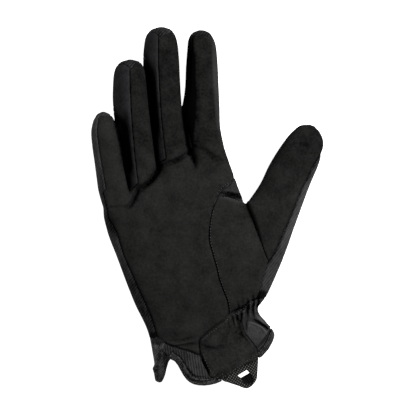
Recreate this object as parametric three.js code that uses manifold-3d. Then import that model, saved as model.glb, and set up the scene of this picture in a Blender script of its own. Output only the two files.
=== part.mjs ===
// A right-hand tactical glove of black synthetic suede, lying on its back with the palm up.
// Millimetres: +X runs to the thumb, +Y to the fingertips, +Z up from the surface it lies on.
import * as THREE from 'three';
import { mergeVertices } from 'three/addons/utils/BufferGeometryUtils.js';
import Module from 'manifold-3d';

const wasm = await Module();
wasm.setup();

// Driving dimensions
const WALL = 1.5; // suede, knit and woven back, turned and sewn
const SEAM_GAP = 0.3; // clear gap between two sewn panels
const BINDING_WIDTH = 3.8; // tape seen on the palm side of the hem
const WEBBING_THICKNESS = 1.8;
const LOOP_HEIGHT = 20.2; // underside of the webbing above the surface, at its left leg
const LOOP_PIVOT_X = 16;
const LOOP_TILT = 9; // degrees down to the thumb side, along the wall that it is sewn under
const DIGIT_SIDES = 16;
const DIGIT_HOLLOW_SIDES = 10;
const HAND_SIDES = 40;
const HAND_HOLLOW_SIDES = 18;
const SEAM_STEPS = 8; // straight pieces in a curved seam
const SQUARENESS = 2.6; // 2 is an ellipse, more is boxier
const SMALLEST_HALF = 0.4; // half width where a hollow closes
const TIP_RINGS = 3; // sections that round a closed end
const PAST_THE_TIP = 6; // how far a finger panel's wedge runs past the fingertip
const ABOVE = 60; // higher than every piece
const BELOW = -20; // lower than every piece
const PALM_SPLIT = 11; // side seam of the palm panel above the surface
const THUMB_SPLIT = 10;
const CROTCH_LOW = 6; // the strip round the foot of the gap between two fingers
const CROTCH_HIGH = 23;
const CUFF_SPLIT = 12; // the hem has one line above this height, another below
const GATHER_PITCH = 7; // from one fold of the elastic gathers to the next
const GATHER_START_X = 2; // the gathers lie between here and the thumb side

// Colours as sRGB and finishes
const SUEDE = { color: 0x242423, roughness: 0.95, metalness: 0 };
const STRETCH = { color: 0x2b2c2f, roughness: 0.9, metalness: 0 };
const TWILL = { color: 0x333334, roughness: 0.88, metalness: 0 };
const KNIT = { color: 0x2f2d2e, roughness: 0.92, metalness: 0 };
const TAPE = { color: 0x262627, roughness: 0.85, metalness: 0 };
const WEBBING = { color: 0x1d1d1e, roughness: 0.8, metalness: 0 };

function rows(columns, values) {
  return values.map((row) => Object.fromEntries(columns.map((column, i) => [column, row[i]])));
}

// Sections of the four fingers, from the tip to inside the palm: where the section lies, its left and
// right limits, its lowest and highest points, and its roll towards the thumb in degrees.
const FINGER_COLUMNS = ['y', 'left', 'right', 'low', 'high', 'roll'];
const FINGERS = {
  little: rows(FINGER_COLUMNS, [
    [63.5, -70.2, -68.2, 20.2, 22.2, -8],
    [62, -72.7, -65.5, 16.2, 26, -8],
    [60, -74, -64, 14.2, 27.8, -8],
    [56.5, -75.5, -62.7, 12.4, 29.2, -8],
    [49.5, -76.5, -61.3, 10.8, 29.4, -8],
    [40.5, -76, -59.8, 9, 28.8, -8],
    [30, -74.5, -58, 6.6, 27.6, -8],
    [19.5, -73.5, -55.4, 4, 26, -6],
    [8.5, -71.5, -51, 1.6, 24.6, -4],
    [-8, -66, -47, 1, 24, 0],
  ]),
  ring: rows(FINGER_COLUMNS, [
    [97, -52.5, -50.5, 16.8, 18.8, 42],
    [95.5, -57, -46.4, 12.4, 23.2, 42],
    [92.5, -60, -43.8, 9.4, 26.2, 42],
    [87.5, -61.5, -42, 7.6, 28, 42],
    [76, -62, -41, 6.4, 28.4, 42],
    [64, -61.8, -39.9, 5.4, 28.4, 41],
    [52.5, -61, -38.6, 4.4, 27.8, 38],
    [40.5, -59, -37, 3.2, 26.8, 33],
    [28, -56, -34, 1.8, 25.6, 26],
    [6, -52, -28.5, 1, 24.5, 16],
  ]),
  middle: rows(FINGER_COLUMNS, [
    [118.5, -32, -30, 11.6, 13.6, 33],
    [117, -36.5, -25.7, 7.4, 18, 33],
    [113.5, -40, -22.8, 4.4, 21.2, 33],
    [107.5, -41.5, -21, 2.6, 23, 33],
    [96, -42, -19.8, 1.8, 23.8, 33],
    [80.5, -41.6, -19, 1.4, 24, 33],
    [65.5, -40.6, -17.8, 1.2, 24, 31],
    [52.5, -38.8, -15.8, 1, 24, 27],
    [38, -35.8, -12.8, 1, 24, 20],
    [14, -31, -8, 1, 24, 10],
  ]),
  index: rows(FINGER_COLUMNS, [
    [116.5, -5.8, -3.8, 10.8, 12.8, 16],
    [115, -9.5, -0.2, 6.8, 17, 16],
    [111.5, -12.2, 2.6, 3.8, 20, 16],
    [106, -13.6, 4.2, 2, 21.8, 16],
    [94, -14.6, 5.5, 1.2, 22.6, 16],
    [80, -15.2, 6, 1, 23, 15],
    [65.5, -15.6, 6.6, 1, 23, 14],
    [52.5, -15, 7.6, 1, 23, 12],
    [38, -13, 12, 1, 23.4, 10],
    [14, -9, 16, 1, 24, 8],
  ]),
};

// Sections of the hand and cuff, from the web between the fingers to below the hem. A section may
// slant, so both its ends have an x and a y. Crown moves its middle to the fingers, hollow dips the
// palm, and gather is the height of the elastic's folds.
const HAND_COLUMNS = [
  'leftX', 'leftY', 'rightX', 'rightY', 'crown', 'low', 'high', 'hollow', 'gather',
];
const HAND = rows(HAND_COLUMNS, [
  [-64, 3.5, 9.5, 36, 7, 9, 17, 0, 0],
  [-67, 0, 12.5, 30, 7, 3.5, 22.5, 0, 0],
  [-68, -6, 15.5, 21, 6, -0.5, 25.2, 0, 0],
  [-66.5, -13.5, 22.5, 9, 5, -2, 26.6, 0.6, 0],
  [-64.5, -21, 30.5, -5, 3, -2, 27.8, 1.4, 0],
  [-60.5, -32, 37, -21, 0, -2, 28.6, 2.2, 0],
  [-55.5, -45.5, 39.5, -37, 0, -2, 28.6, 2, 0],
  [-51.5, -56, 36.5, -50, 0, -2, 27.6, 1.2, 0],
  [-48, -65.5, 32.5, -58, 0, -2, 26, 0.4, 0.4],
  [-44.5, -73, 33, -64.5, 0, -2, 24.6, 0, 1.4],
  [-41, -80, 37, -69.5, 0, -1.5, 24.4, 0, 1.5],
  [-38.4, -87, 41.5, -76, 0, -1.5, 25, 0, 0.9],
  [-37.2, -95, 44, -83, 0, -1.5, 25.4, 0, 0.3],
  [-36.4, -104, 44.5, -93, 0, -1.5, 25.4, 0, 0],
  [-35.6, -116, 43.5, -108, 0, -1.5, 25, 0, 0],
  [-35, -126, 42, -122, 0, -1.5, 25, 0, 0],
]);

// Sections of the thumb, square to its axis, from the tip to the wrist.
const THUMB_COLUMNS = ['leftX', 'leftY', 'rightX', 'rightY', 'low', 'high', 'roll'];
const THUMB = rows(THUMB_COLUMNS, [
  [66.8, 53.2, 70, 52, 13.5, 16, -8],
  [62, 53.2, 73.4, 48.2, 8.6, 20.6, -8],
  [58.6, 50.8, 74.8, 43.4, 5.8, 23.2, -8],
  [53.8, 46, 74.6, 37, 4, 24.6, -8],
  [47.4, 37.2, 71.4, 27, 3, 25.4, -8],
  [41, 26.6, 66.4, 16, 2.4, 25.6, -8],
  [35, 15.4, 61, 2.4, 2, 25.4, -8],
  [28, 5, 56, -11.2, 1.6, 25, -8],
  [25, -10, 51.4, -24.4, 1.2, 24.4, -6],
  [23.5, -24.4, 46.2, -37.6, 1, 23.8, -4],
  [21, -38, 40.8, -49.4, 1, 23.6, -2],
  [17, -50, 35.8, -60, 1, 23.4, 0],
  [11, -61, 31, -66.5, 1, 23, 0],
]);

// Seams and edges seen from above, each a curve through a few points [x, y]
const LITTLE_SIDE_SEAM = [
  [-66.5, 8], [-66, -5], [-60.7, -19], [-54.8, -34.8], [-45.5, -54.6], [-36.3, -74.4], [-33, -86.5],
];
const WRIST_SEAM = [
  [-33, -86.5], [-17.8, -93.2], [-8.5, -94.6], [-5.6, -87.5], [0.9, -81.1], [10.1, -74.4],
  [13.7, -70.5], [25.5, -63.2], [33, -60],
];
const SEAM_MEETING = 6; // the thenar seam ends at this point of the wrist seam
const THENAR_SEAM = [[6, 8], [1.5, -4.5], [0.5, -21.5], [7.5, -48], [13.7, -70.5]];
const GUSSET_PALM_SEAM = [[18.5, 23], [11.5, 14.5], [6, 8]];
const GUSSET_THENAR_SEAM = [[6, 8], [14, 5.8], [21, 3.4], [26.8, 1.8]];
const THUMB_CREASE = [[26.8, 1.8], [30, -6], [34, -19], [39.5, -32.5]];
const THUMB_SIDE_SEAM = [[39.5, -32.5], [51, -11.5], [64, 21.5], [70, 40]];
const BASE_SEAM = [[39.5, -32.5], [35.6, -43], [32.6, -59]];
const FINGER_BASES = [[-66.5, 12], [-52, 10], [-47.5, 14], [-36, 26], [-31.5, 29.5], [-19, 36], [-13.5, 39], [6, 34]];
const PALM_HEM = [
  [-36, -95], [-28, -95.5], [-24.5, -99.6], [-20.5, -103.1], [-16.5, -110], [-12.5, -114.5],
  [-6.6, -116.5], [-1, -116.7], [4.5, -115.6], [9.5, -113.6], [17.2, -107.4], [25.1, -101.5],
  [35, -96.9], [41, -89.5], [48, -81],
];
const LEFT_BINDING = [2, 10]; // points of the hem that each length of tape runs between
const RIGHT_BINDING = [12, 15];
const BACK_HEM = [
  [-37, -109], [-34.5, -113.5], [-32, -114.8], [-29.5, -113.5], [-27.6, -107.5], [-26, -102],
  [-22, -98], [-12, -95.5], [10, -94], [34, -93], [46, -90],
];
const PATCH = [
  [-5.6, -87.5], [0.9, -81.1], [10.1, -74.4], [13.7, -70.5], [18.5, -71.5], [21.5, -76.4],
  [24, -83.7], [28.5, -88], [34.5, -93.5], [36.6, -97.5], [25.1, -103.5], [17.2, -109.4], [9.5, -115.5],
  [6.5, -113.2], [2, -110.7], [-0.7, -106.1], [-3.3, -100.8], [-4.6, -94.2],
];
const TAB = [[-42, -93], [-42, -120], [-26.5, -120], [-26.5, -93]];
const LOOP = [
  [9, -110], [9.5, -113.8], [13.5, -115.3], [19, -117.2], [24.5, -119.4], [27.5, -118.5],
  [30.3, -116], [32.2, -112.7], [32.8, -106], [33.2, -98], [33.4, -94], [25.5, -98], [16.5, -103],
];
const LOOP_SLOT = [[19.5, -110.7], [25.4, -107.1], [27.1, -108.9], [21.5, -112]];

// Where a panel's region ends in free space or under its neighbour, so that no seam shows
const PALM_WEB_CORNER = [[24, 34], [24, 27.5]];
const GUSSET_EDGE = [[27.4, 5], [26, 26]];
const THUMB_FRONT_EDGE = [[78, 56], [50, 62], [26.8, 12]];
const THUMB_BACK_AREA = [[28, 3], [26, -60.5], [44, -60.5], [90, 20], [84, 66], [48, 62], [28, 20]];
const CUFF_EDGE = [[80, -60], [80, -140], [-80, -140], [-80, -86.5]];
const BELOW_PALM_HEM = [[70, -81], [70, -140], [-60, -140], [-60, -95]];
const BELOW_BACK_HEM = [[70, -90], [70, -140], [-60, -140], [-60, -109]];
const ABOVE_FINGER_BASES = [[60, 26], [60, 140], [-90, 140], [-90, 4]];
const BASE_ALLOWANCE = 8; // the strips between the fingers start this far inside the palm

// A closed solid through rings of points, each ring a list of [x, y, z] with the same count.
function loft(rings) {
  const sides = rings[0].length;
  const points = rings.flat();
  const faces = [];
  for (let r = 0; r < rings.length - 1; r += 1) {
    for (let s = 0; s < sides; s += 1) {
      const here = r * sides + s;
      const next = r * sides + ((s + 1) % sides);
      faces.push(here, next, here + sides, next, next + sides, here + sides);
    }
  }
  const last = (rings.length - 1) * sides;
  for (let s = 1; s < sides - 1; s += 1) {
    faces.push(0, s + 1, s, last, last + s, last + s + 1);
  }
  const geometry = new THREE.BufferGeometry();
  geometry.setAttribute('position', new THREE.Float32BufferAttribute(points.flat(), 3));
  geometry.setIndex(faces);
  return solid(geometry);
}

function solid(geometry) {
  geometry.deleteAttribute('normal');
  geometry.deleteAttribute('uv');
  const merged = mergeVertices(geometry, 1e-4);
  return new wasm.Manifold(new wasm.Mesh({
    numProp: 3,
    vertProperties: new Float32Array(merged.attributes.position.array),
    triVerts: new Uint32Array(merged.index.array),
  }));
}

function curve(points) {
  const spline = new THREE.SplineCurve(points.map(([x, y]) => new THREE.Vector2(x, y)));
  return spline.getPoints(SEAM_STEPS).map((p) => [p.x, p.y]);
}

// The outline moved outwards by a margin, each corner along its two sides' normals.
function grown(outline, margin) {
  const turn = Math.sign(THREE.ShapeUtils.area(outline.map(([x, y]) => new THREE.Vector2(x, y))));
  return outline.map(([x, y], i) => {
    const [ax, ay] = outline[(i + outline.length - 1) % outline.length];
    const [bx, by] = outline[(i + 1) % outline.length];
    const before = new THREE.Vector2(y - ay, ax - x).normalize();
    const after = new THREE.Vector2(by - y, x - bx).normalize();
    const corner = before.clone().add(after).normalize();
    const reach = (margin * turn) / Math.max(corner.dot(after), 0.5);
    return [x + corner.x * reach, y + corner.y * reach];
  });
}

function prism(outline, bottom, top, margin = 0) {
  const shape = new THREE.Shape(grown(outline, margin).map(([x, y]) => new THREE.Vector2(x, y)));
  const depth = top - bottom + 2 * margin;
  const geometry = new THREE.ExtrudeGeometry(shape, { depth, bevelEnabled: false });
  geometry.translate(0, 0, bottom - margin);
  return solid(geometry);
}

// Point of a rounded box of half size 1 at an angle, rolled clockwise.
function rolledPoint(angle, roll) {
  const power = 2 / SQUARENESS;
  const u = Math.sign(Math.cos(angle)) * Math.abs(Math.cos(angle)) ** power;
  const v = Math.sign(Math.sin(angle)) * Math.abs(Math.sin(angle)) ** power;
  const turn = THREE.MathUtils.degToRad(roll);
  return [u * Math.cos(turn) + v * Math.sin(turn), v * Math.cos(turn) - u * Math.sin(turn)];
}

// How far the rolled box reaches sideways and upwards
function boxReach(roll) {
  const turn = Array.from({ length: 72 }, (_, k) => rolledPoint((k / 36) * Math.PI, roll));
  return [Math.max(...turn.map((p) => p[0])), Math.max(...turn.map((p) => p[1]))];
}

// The section's ring as [x, y, z] points. Inset shrinks it all round for the hollow inside.
function sectionRing(section, sides, inset) {
  const { leftX, leftY, rightX, rightY, low, high, roll = 0 } = section;
  const { crown = 0, hollow = 0, gather = 0 } = section;
  const unit = Array.from({ length: sides }, (_, k) => rolledPoint((k / sides) * 2 * Math.PI, roll));
  const [reachX, reachZ] = boxReach(roll);
  const width = Math.hypot(rightX - leftX, rightY - leftY);
  const acrossX = (rightX - leftX) / width;
  const acrossY = (rightY - leftY) / width;
  const halfWidth = Math.max(width / 2 - inset, SMALLEST_HALF);
  const halfHeight = Math.max((high - low) / 2 - inset, SMALLEST_HALF);
  return unit.map(([u, v]) => {
    const across = (u / reachX) * halfWidth;
    const x = (leftX + rightX) / 2 + acrossX * across;
    const middle = (1 - (u / reachX) ** 2) ** 2;
    const wave = 0.5 + 0.5 * Math.cos((x / GATHER_PITCH) * 2 * Math.PI);
    const gathered = inset === 0 && v > 0 && x > GATHER_START_X;
    const ripple = gathered ? gather * v * wave : 0;
    const dip = v > 0 ? hollow * middle : 0;
    const z = (low + high) / 2 + (v / reachZ) * halfHeight - dip + ripple;
    const y = (leftY + rightY) / 2 + acrossY * across + crown * (1 - (u / reachX) ** 2);
    return [x, y, Math.max(z, inset)];
  });
}

// A digit or the hand as a solid. The hollow's closed end keeps a wall from the outer end, and its
// last ring runs past the outer one, so that it is open there.
function sectionLoft(sections, sides, inset) {
  const [tip, , next] = sections;
  const toBase = new THREE.Vector2(
    next.leftX + next.rightX - tip.leftX - tip.rightX,
    next.leftY + next.rightY - tip.leftY - tip.rightY,
  ).setLength(inset);
  return loft(sections.map((section, i) => {
    const shift = i < TIP_RINGS ? 1 - i / TIP_RINGS : 0;
    const last = i === sections.length - 1 ? 1 : 0;
    return sectionRing(section, sides, inset).map(([x, y, z]) => [
      x + toBase.x * (shift + last),
      y + toBase.y * (shift + last),
      z,
    ]);
  }));
}

const digits = Object.fromEntries(Object.entries(FINGERS).map(([name, sections]) => [
  name,
  sections.map((s) => ({ ...s, leftX: s.left, leftY: s.y, rightX: s.right, rightY: s.y })),
]));

// Wedge of a finger seen from its tip, from its axis outwards between two angles, all along it.
function fingerSector(finger, from, to, margin) {
  const sectorSteps = 5;
  const far = 1.08 + 0.3 * margin; // just past the finger's outside
  const half = THREE.MathUtils.degToRad((to - from) / 2);
  const reach = margin / Math.sin(Math.min(half, Math.PI / 2));
  const sections = digits[finger];
  const tip = { ...sections[0], y: sections[0].y + PAST_THE_TIP };
  return loft([tip, ...sections].map((section, i) => {
    const { y, roll } = section;
    const size = sections[Math.max(i - 1, TIP_RINGS)];
    const centreX = (section.leftX + section.rightX) / 2;
    const centreZ = (section.low + section.high) / 2;
    const [reachX, reachZ] = boxReach(roll);
    const halfX = ((size.right - size.left) / 2) * far;
    const halfZ = ((size.high - size.low) / 2) * far;
    const spoke = (angle) => {
      const [u, v] = rolledPoint(THREE.MathUtils.degToRad(angle), roll);
      return [(u / reachX) * halfX, (v / reachZ) * halfZ];
    };
    const [midX, midZ] = spoke((from + to) / 2);
    const length = Math.hypot(midX, midZ);
    const backX = (-midX / length) * reach;
    const backZ = (-midZ / length) * reach;
    const arc = Array.from({ length: sectorSteps + 1 }, (_, k) => {
      const [x, z] = spoke(from + ((to - from) * k) / sectorSteps);
      return [centreX + backX + x, y, centreZ + backZ + z];
    });
    return [[centreX + backX, y, centreZ + backZ], ...arc];
  }));
}

function union(solids) {
  return solids.reduce((sum, next) => sum.add(next));
}

// The whole glove's cloth, hollow and open at the wrist
function gloveWall() {
  const digitSections = [...Object.values(digits), THUMB];
  const outer = union([
    sectionLoft(HAND, HAND_SIDES, 0),
    ...digitSections.map((sections) => sectionLoft(sections, DIGIT_SIDES, 0)),
  ]);
  const hollow = union([
    sectionLoft(HAND, HAND_HOLLOW_SIDES, WALL),
    ...digitSections.map((sections) => sectionLoft(sections, DIGIT_HOLLOW_SIDES, WALL)),
  ]);
  return outer
    .subtract(hollow)
    .subtract(prism([...PALM_HEM, ...BELOW_PALM_HEM], CUFF_SPLIT, ABOVE))
    .subtract(prism([...BACK_HEM, ...BELOW_BACK_HEM], BELOW, CUFF_SPLIT));
}

let cloth = gloveWall();

// Cuts one panel out of what is left of the wall and leaves a seam gap round it.
function claim(region) {
  const panel = cloth.intersect(region(-SEAM_GAP / 2));
  cloth = cloth.subtract(region(SEAM_GAP / 2));
  return panel;
}

// Angles round a finger in degrees, from the thumb side over its front: where its front panel
// starts and ends, and its back panel.
const FRONT = { little: [38, 116], ring: [40, 134], middle: [40, 134], index: [22, 138] };
const BACK_FROM = 226;
const BACK_TO = 314;
const FULL_TURN = 360;
const SIDE_OVERLAP = 16; // a side strip's region runs on under the front panel

function palmRegion(margin) {
  const outline = [
    ...curve(LITTLE_SIDE_SEAM).reverse(),
    ...FINGER_BASES,
    ...PALM_WEB_CORNER,
    ...curve(GUSSET_PALM_SEAM),
    ...curve(THENAR_SEAM).slice(1),
    ...WRIST_SEAM.slice(1, SEAM_MEETING).reverse(),
  ];
  return union([
    prism(outline, PALM_SPLIT, ABOVE, margin),
    ...Object.entries(FRONT).map(([finger, [from, to]]) => fingerSector(finger, from, to, margin)),
  ]);
}

function gussetRegion(margin) {
  const outline = [...curve(GUSSET_PALM_SEAM), ...curve(GUSSET_THENAR_SEAM).slice(1), ...GUSSET_EDGE];
  return prism(outline, THUMB_SPLIT, ABOVE, margin);
}

function thenarRegion(margin) {
  const outline = [
    ...curve(GUSSET_THENAR_SEAM).reverse(),
    ...curve(THENAR_SEAM).slice(1),
    ...WRIST_SEAM.slice(SEAM_MEETING + 1),
    ...curve(BASE_SEAM).reverse(),
    ...curve(THUMB_CREASE).reverse().slice(1, -1),
  ];
  return prism(outline, THUMB_SPLIT, ABOVE, margin);
}

function thumbFrontRegion(margin) {
  const outline = [
    ...curve(THUMB_CREASE),
    ...curve(THUMB_SIDE_SEAM).slice(1),
    ...THUMB_FRONT_EDGE,
  ];
  return prism(outline, THUMB_SPLIT, ABOVE, margin);
}

function thumbBackRegion(margin) {
  return prism(THUMB_BACK_AREA, BELOW, ABOVE, margin);
}

function fourchetteRegion(left, right, crotch) {
  return (margin) => union([
    fingerSector(left, BACK_TO - FULL_TURN, FRONT[left][0] + SIDE_OVERLAP, margin),
    fingerSector(right, FRONT[right][1] - SIDE_OVERLAP, BACK_FROM, margin),
    prism(crotch, CROTCH_LOW, CROTCH_HIGH, margin),
  ]);
}

function aboveBases(region) {
  const start = FINGER_BASES.map(([x, y]) => [x, y - BASE_ALLOWANCE]);
  const area = [...start, ...ABOVE_FINGER_BASES];
  return (margin) => region(margin).intersect(prism(area, BELOW, ABOVE, margin));
}

function cuffRegion(margin) {
  return prism([...WRIST_SEAM, ...CUFF_EDGE], BELOW, ABOVE, margin);
}

function bindingRegion([first, end], margin) {
  const hem = PALM_HEM.slice(first, end);
  const inner = hem.map(([x, y], i) => {
    const [ax, ay] = hem[Math.max(i - 1, 0)];
    const [bx, by] = hem[Math.min(i + 1, hem.length - 1)];
    const along = new THREE.Vector2(bx - ax, by - ay).normalize();
    return [x - along.y * BINDING_WIDTH, y + along.x * BINDING_WIDTH];
  });
  const outer = hem.map(([x, y], i) => [2 * x - inner[i][0], 2 * y - inner[i][1]]);
  return prism([...outer, ...inner.reverse()], CUFF_SPLIT, ABOVE, margin);
}

const materials = {
  suede: SUEDE, stretch: STRETCH, twill: TWILL, knit: KNIT, tape: TAPE, webbing: WEBBING,
};
const glove = new THREE.Group();
glove.name = 'tactical_glove';

function addPanel(name, panel, finish) {
  const { vertProperties, triVerts } = panel.getMesh();
  const geometry = new THREE.BufferGeometry();
  geometry.setAttribute('position', new THREE.BufferAttribute(vertProperties, 3));
  geometry.setIndex(new THREE.BufferAttribute(triVerts, 1));
  geometry.computeVertexNormals();
  const mesh = new THREE.Mesh(geometry, new THREE.MeshStandardMaterial(materials[finish]));
  mesh.name = name;
  glove.add(mesh);
  return mesh;
}

// Cuff, sewn to the wrist of the palm and the back
addPanel('cuff_patch', claim((margin) => prism(PATCH, CUFF_SPLIT, ABOVE, margin)), 'suede');
addPanel('hem_binding_left', claim((margin) => bindingRegion(LEFT_BINDING, margin)), 'tape');
addPanel('hem_binding_right', claim((margin) => bindingRegion(RIGHT_BINDING, margin)), 'tape');
addPanel('pull_tab', claim((margin) => prism(TAB, BELOW, CUFF_SPLIT, margin)), 'tape');
addPanel('cuff', claim(cuffRegion), 'knit');

// Palm side
addPanel('palm_panel', claim(palmRegion), 'suede');
addPanel('web_gusset', claim(gussetRegion), 'stretch');
addPanel('thenar_panel', claim(thenarRegion), 'suede');
addPanel('thumb_front_panel', claim(thumbFrontRegion), 'suede');

// Sides of the fingers and the back
const CROTCHES = {
  little_ring: [[-56, 4], [-42, 4], [-42, 18], [-56, 18]],
  ring_middle: [[-38, 16], [-26, 20], [-26, 34], [-38, 32]],
  middle_index: [[-20, 26], [-8, 28], [-8, 44], [-20, 42]],
};
for (const [name, crotch] of Object.entries(CROTCHES)) {
  const [left, right] = name.split('_');
  addPanel('fourchette_' + name, claim(aboveBases(fourchetteRegion(left, right, crotch))), 'stretch');
}
addPanel('thumb_back_panel', claim(thumbBackRegion), 'twill');
addPanel('back_panel', cloth, 'twill');

// Webbing loop, its legs sewn under the hem of the patch
const fromPivot = (outline) => outline.map(([x, y]) => [x - LOOP_PIVOT_X, y]);
const webbing = prism(fromPivot(LOOP), 0, WEBBING_THICKNESS);
const loop = addPanel('hang_loop', webbing.subtract(prism(fromPivot(LOOP_SLOT), BELOW, ABOVE)), 'webbing');
loop.position.set(LOOP_PIVOT_X, 0, LOOP_HEIGHT);
loop.rotation.y = THREE.MathUtils.degToRad(LOOP_TILT);

// The frame's origin is the middle of the glove's footprint, on the surface it lies on.
const bounds = new THREE.Box3().setFromObject(glove);
const centre = bounds.getCenter(new THREE.Vector3());
glove.position.set(-centre.x, -centre.y, -bounds.min.z);

export default glove;
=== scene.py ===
import bpy
import numpy as np
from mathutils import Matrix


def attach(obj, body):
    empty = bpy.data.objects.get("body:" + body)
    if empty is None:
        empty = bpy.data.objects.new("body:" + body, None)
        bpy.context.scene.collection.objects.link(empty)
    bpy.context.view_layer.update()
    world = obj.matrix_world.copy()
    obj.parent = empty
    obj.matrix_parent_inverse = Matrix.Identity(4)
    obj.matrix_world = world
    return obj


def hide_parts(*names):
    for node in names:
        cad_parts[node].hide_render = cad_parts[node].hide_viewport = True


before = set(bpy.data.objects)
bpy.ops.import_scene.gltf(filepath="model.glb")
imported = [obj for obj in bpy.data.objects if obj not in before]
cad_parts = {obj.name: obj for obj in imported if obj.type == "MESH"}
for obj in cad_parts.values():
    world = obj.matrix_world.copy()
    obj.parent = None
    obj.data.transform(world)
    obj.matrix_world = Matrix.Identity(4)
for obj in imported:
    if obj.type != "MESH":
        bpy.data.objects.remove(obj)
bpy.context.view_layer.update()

# Palm panel
# One piece of black synthetic suede covers the palm and the front of the four fingers. It is cut flat,
# sewn face to face with its neighbours and turned, so that its edges roll down into the seams.
# All places are in millimetres: x to the thumb, y to the fingertips, z up from the table.
MM = 0.001
ROW_SHIFT = np.array([0.854, 0.45, 0.0])  # from these places to the frame's origin
WALL = 1.5  # thickness of the cloth
SEAM_GAP = 0.06  # between two panels that are sewn edge to edge
SEAM_ROLL = 1.1  # width over which an edge rounds into its seam
SIDE_ROLL = 0.2  # share of that width at the sides of the glove
ROLL_HEIGHTS = (13, 20)  # from the sides to fully rounded on top
ALLOWANCE = 2.5  # how far the cloth turned in behind a seam reaches
ALLOWANCE_DEPTH = (1.1, 2.2)  # how far its two faces lie below the cloth's outer face
SIDE_DEPTH = 0.22  # share of the first of these at the sides of the glove
SQUARENESS = 2.6  # 2 is an ellipse, more is boxier
FAR = 30.0  # further away than anything that is cut or blended
GLOVE_GRID = ((-79.3, -122.2, -1.3), (77.8, 121.7, 32.0), 0.66)  # lowest and highest point, step


def use_grid(low, high, step):
    """Sets the points at which shapes are worked out from here on."""
    global gx, gy, gz, cell
    gx, gy, gz = (np.arange(a, b, step, dtype=np.float32) for a, b in zip(low, high))
    cell = step


use_grid(*GLOVE_GRID)

# Sections from the fingertip to inside the palm: y, left, right, lowest, highest, and the roll to the
# thumb in degrees
FINGERS = {
    "little": (
        (62.6, -70.2, -67.4, 20.2, 22.2, -8), (61.3, -72.6, -64.8, 16.2, 26, -8),
        (59.4, -74, -62.9, 14.2, 27.8, -8), (56, -75.6, -61.3, 12.4, 29.2, -8),
        (49.5, -76.8, -59.8, 10.8, 29.4, -8), (40.5, -76.2, -57.6, 9, 28.8, -8),
        (30, -74.8, -55.8, 6.6, 27.6, -8), (19.5, -73.5, -53.6, 4, 26, -6),
        (8.5, -71.8, -51, 1.6, 24.6, -4), (-8, -66.4, -47, 1, 23.6, 0),
        (-20, -60.5, -46, 4, 18, 0),
    ),
    "ring": (
        (97.2, -53, -49.6, 16.8, 18.8, 42), (95.7, -57.4, -45, 12.4, 23.2, 42),
        (92.5, -60.5, -42.7, 9.4, 26.2, 42), (87.5, -62.1, -41.4, 7.6, 28, 42),
        (76, -62.8, -40.2, 6.4, 28.4, 42), (64, -62.5, -39, 5.4, 28.4, 41),
        (52.5, -61.2, -37.6, 4.4, 27.8, 38), (40.5, -59, -35.9, 3.2, 26.8, 33),
        (28, -56, -34, 1.8, 25.6, 26), (6, -52, -28.5, 1, 24.5, 16),
    ),
    "middle": (
        (119, -33.2, -28.4, 11.6, 13.6, 33), (117.3, -37.6, -24.4, 7.4, 18, 33),
        (113.5, -40.8, -21.6, 4.4, 21.2, 33), (107.5, -42.2, -20, 2.6, 23, 33),
        (96, -43, -19, 1.8, 23.8, 33), (80.5, -42.4, -18.3, 1.4, 24, 33),
        (65.5, -41, -17.2, 1.2, 24, 31), (52.5, -38.8, -15.8, 1, 24, 27),
        (38, -35.8, -12.8, 1, 24, 20), (14, -31, -8, 1, 24, 10),
    ),
    "index": (
        (117, -6.8, -2.4, 10.8, 12.8, 16), (115.3, -10.4, 1, 6.8, 17, 16),
        (111.5, -13.2, 3.6, 3.8, 20, 16), (106, -14.3, 5.4, 2, 21.8, 16),
        (94, -15.4, 6.5, 1.2, 22.6, 16), (80, -16.1, 7.1, 1, 23, 15),
        (65.5, -17.6, 7.7, 1, 23, 14), (52.5, -15.8, 8.2, 1, 23, 12),
        (38, -13, 11, 1, 23.4, 10), (14, -9, 15.5, 1, 24, 8),
    ),
}

# Sections of the hand from the web between the fingers to below the hem: both ends, how far the
# middle bows to the fingers, lowest, highest, and how far the palm dips
HAND = (
    (-64, 3.5, 10.1, 36, 7, 9, 17, 0), (-67, 0, 13.3, 30, 7, 3.5, 22.5, 0),
    (-68.5, -6, 17.1, 21, 6, -0.5, 25.2, 0), (-67.2, -13.5, 21.7, 8.6, 5, -2, 26.6, 0.6),
    (-64.9, -21, 28.5, -5, 3, -2, 27.8, 1.4), (-60.5, -32, 37, -21, 0, -2, 28.6, 2.2),
    (-55.5, -45.5, 39.5, -37, 0, -2, 28.6, 2), (-51.5, -56, 37, -50, 0, -2, 27.6, 1.2),
    (-47.6, -65.5, 34.6, -58, 0, -2, 26, 0.4), (-43.8, -73, 31.8, -65.5, 0, -2, 24.6, 0),
    (-40.6, -80, 34.4, -71, 0, -1.5, 24.4, 0), (-38.4, -87, 39.4, -77, 0, -1.5, 25, 0),
    (-36.9, -95, 43.6, -83.5, 0, -1.5, 25.4, 0), (-35.5, -104, 44.5, -93, 0, -1.5, 25.4, 0),
    (-34.8, -116, 43.5, -108, 0, -1.5, 25, 0), (-34.4, -126, 42, -122, 0, -1.5, 25, 0),
)

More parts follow.
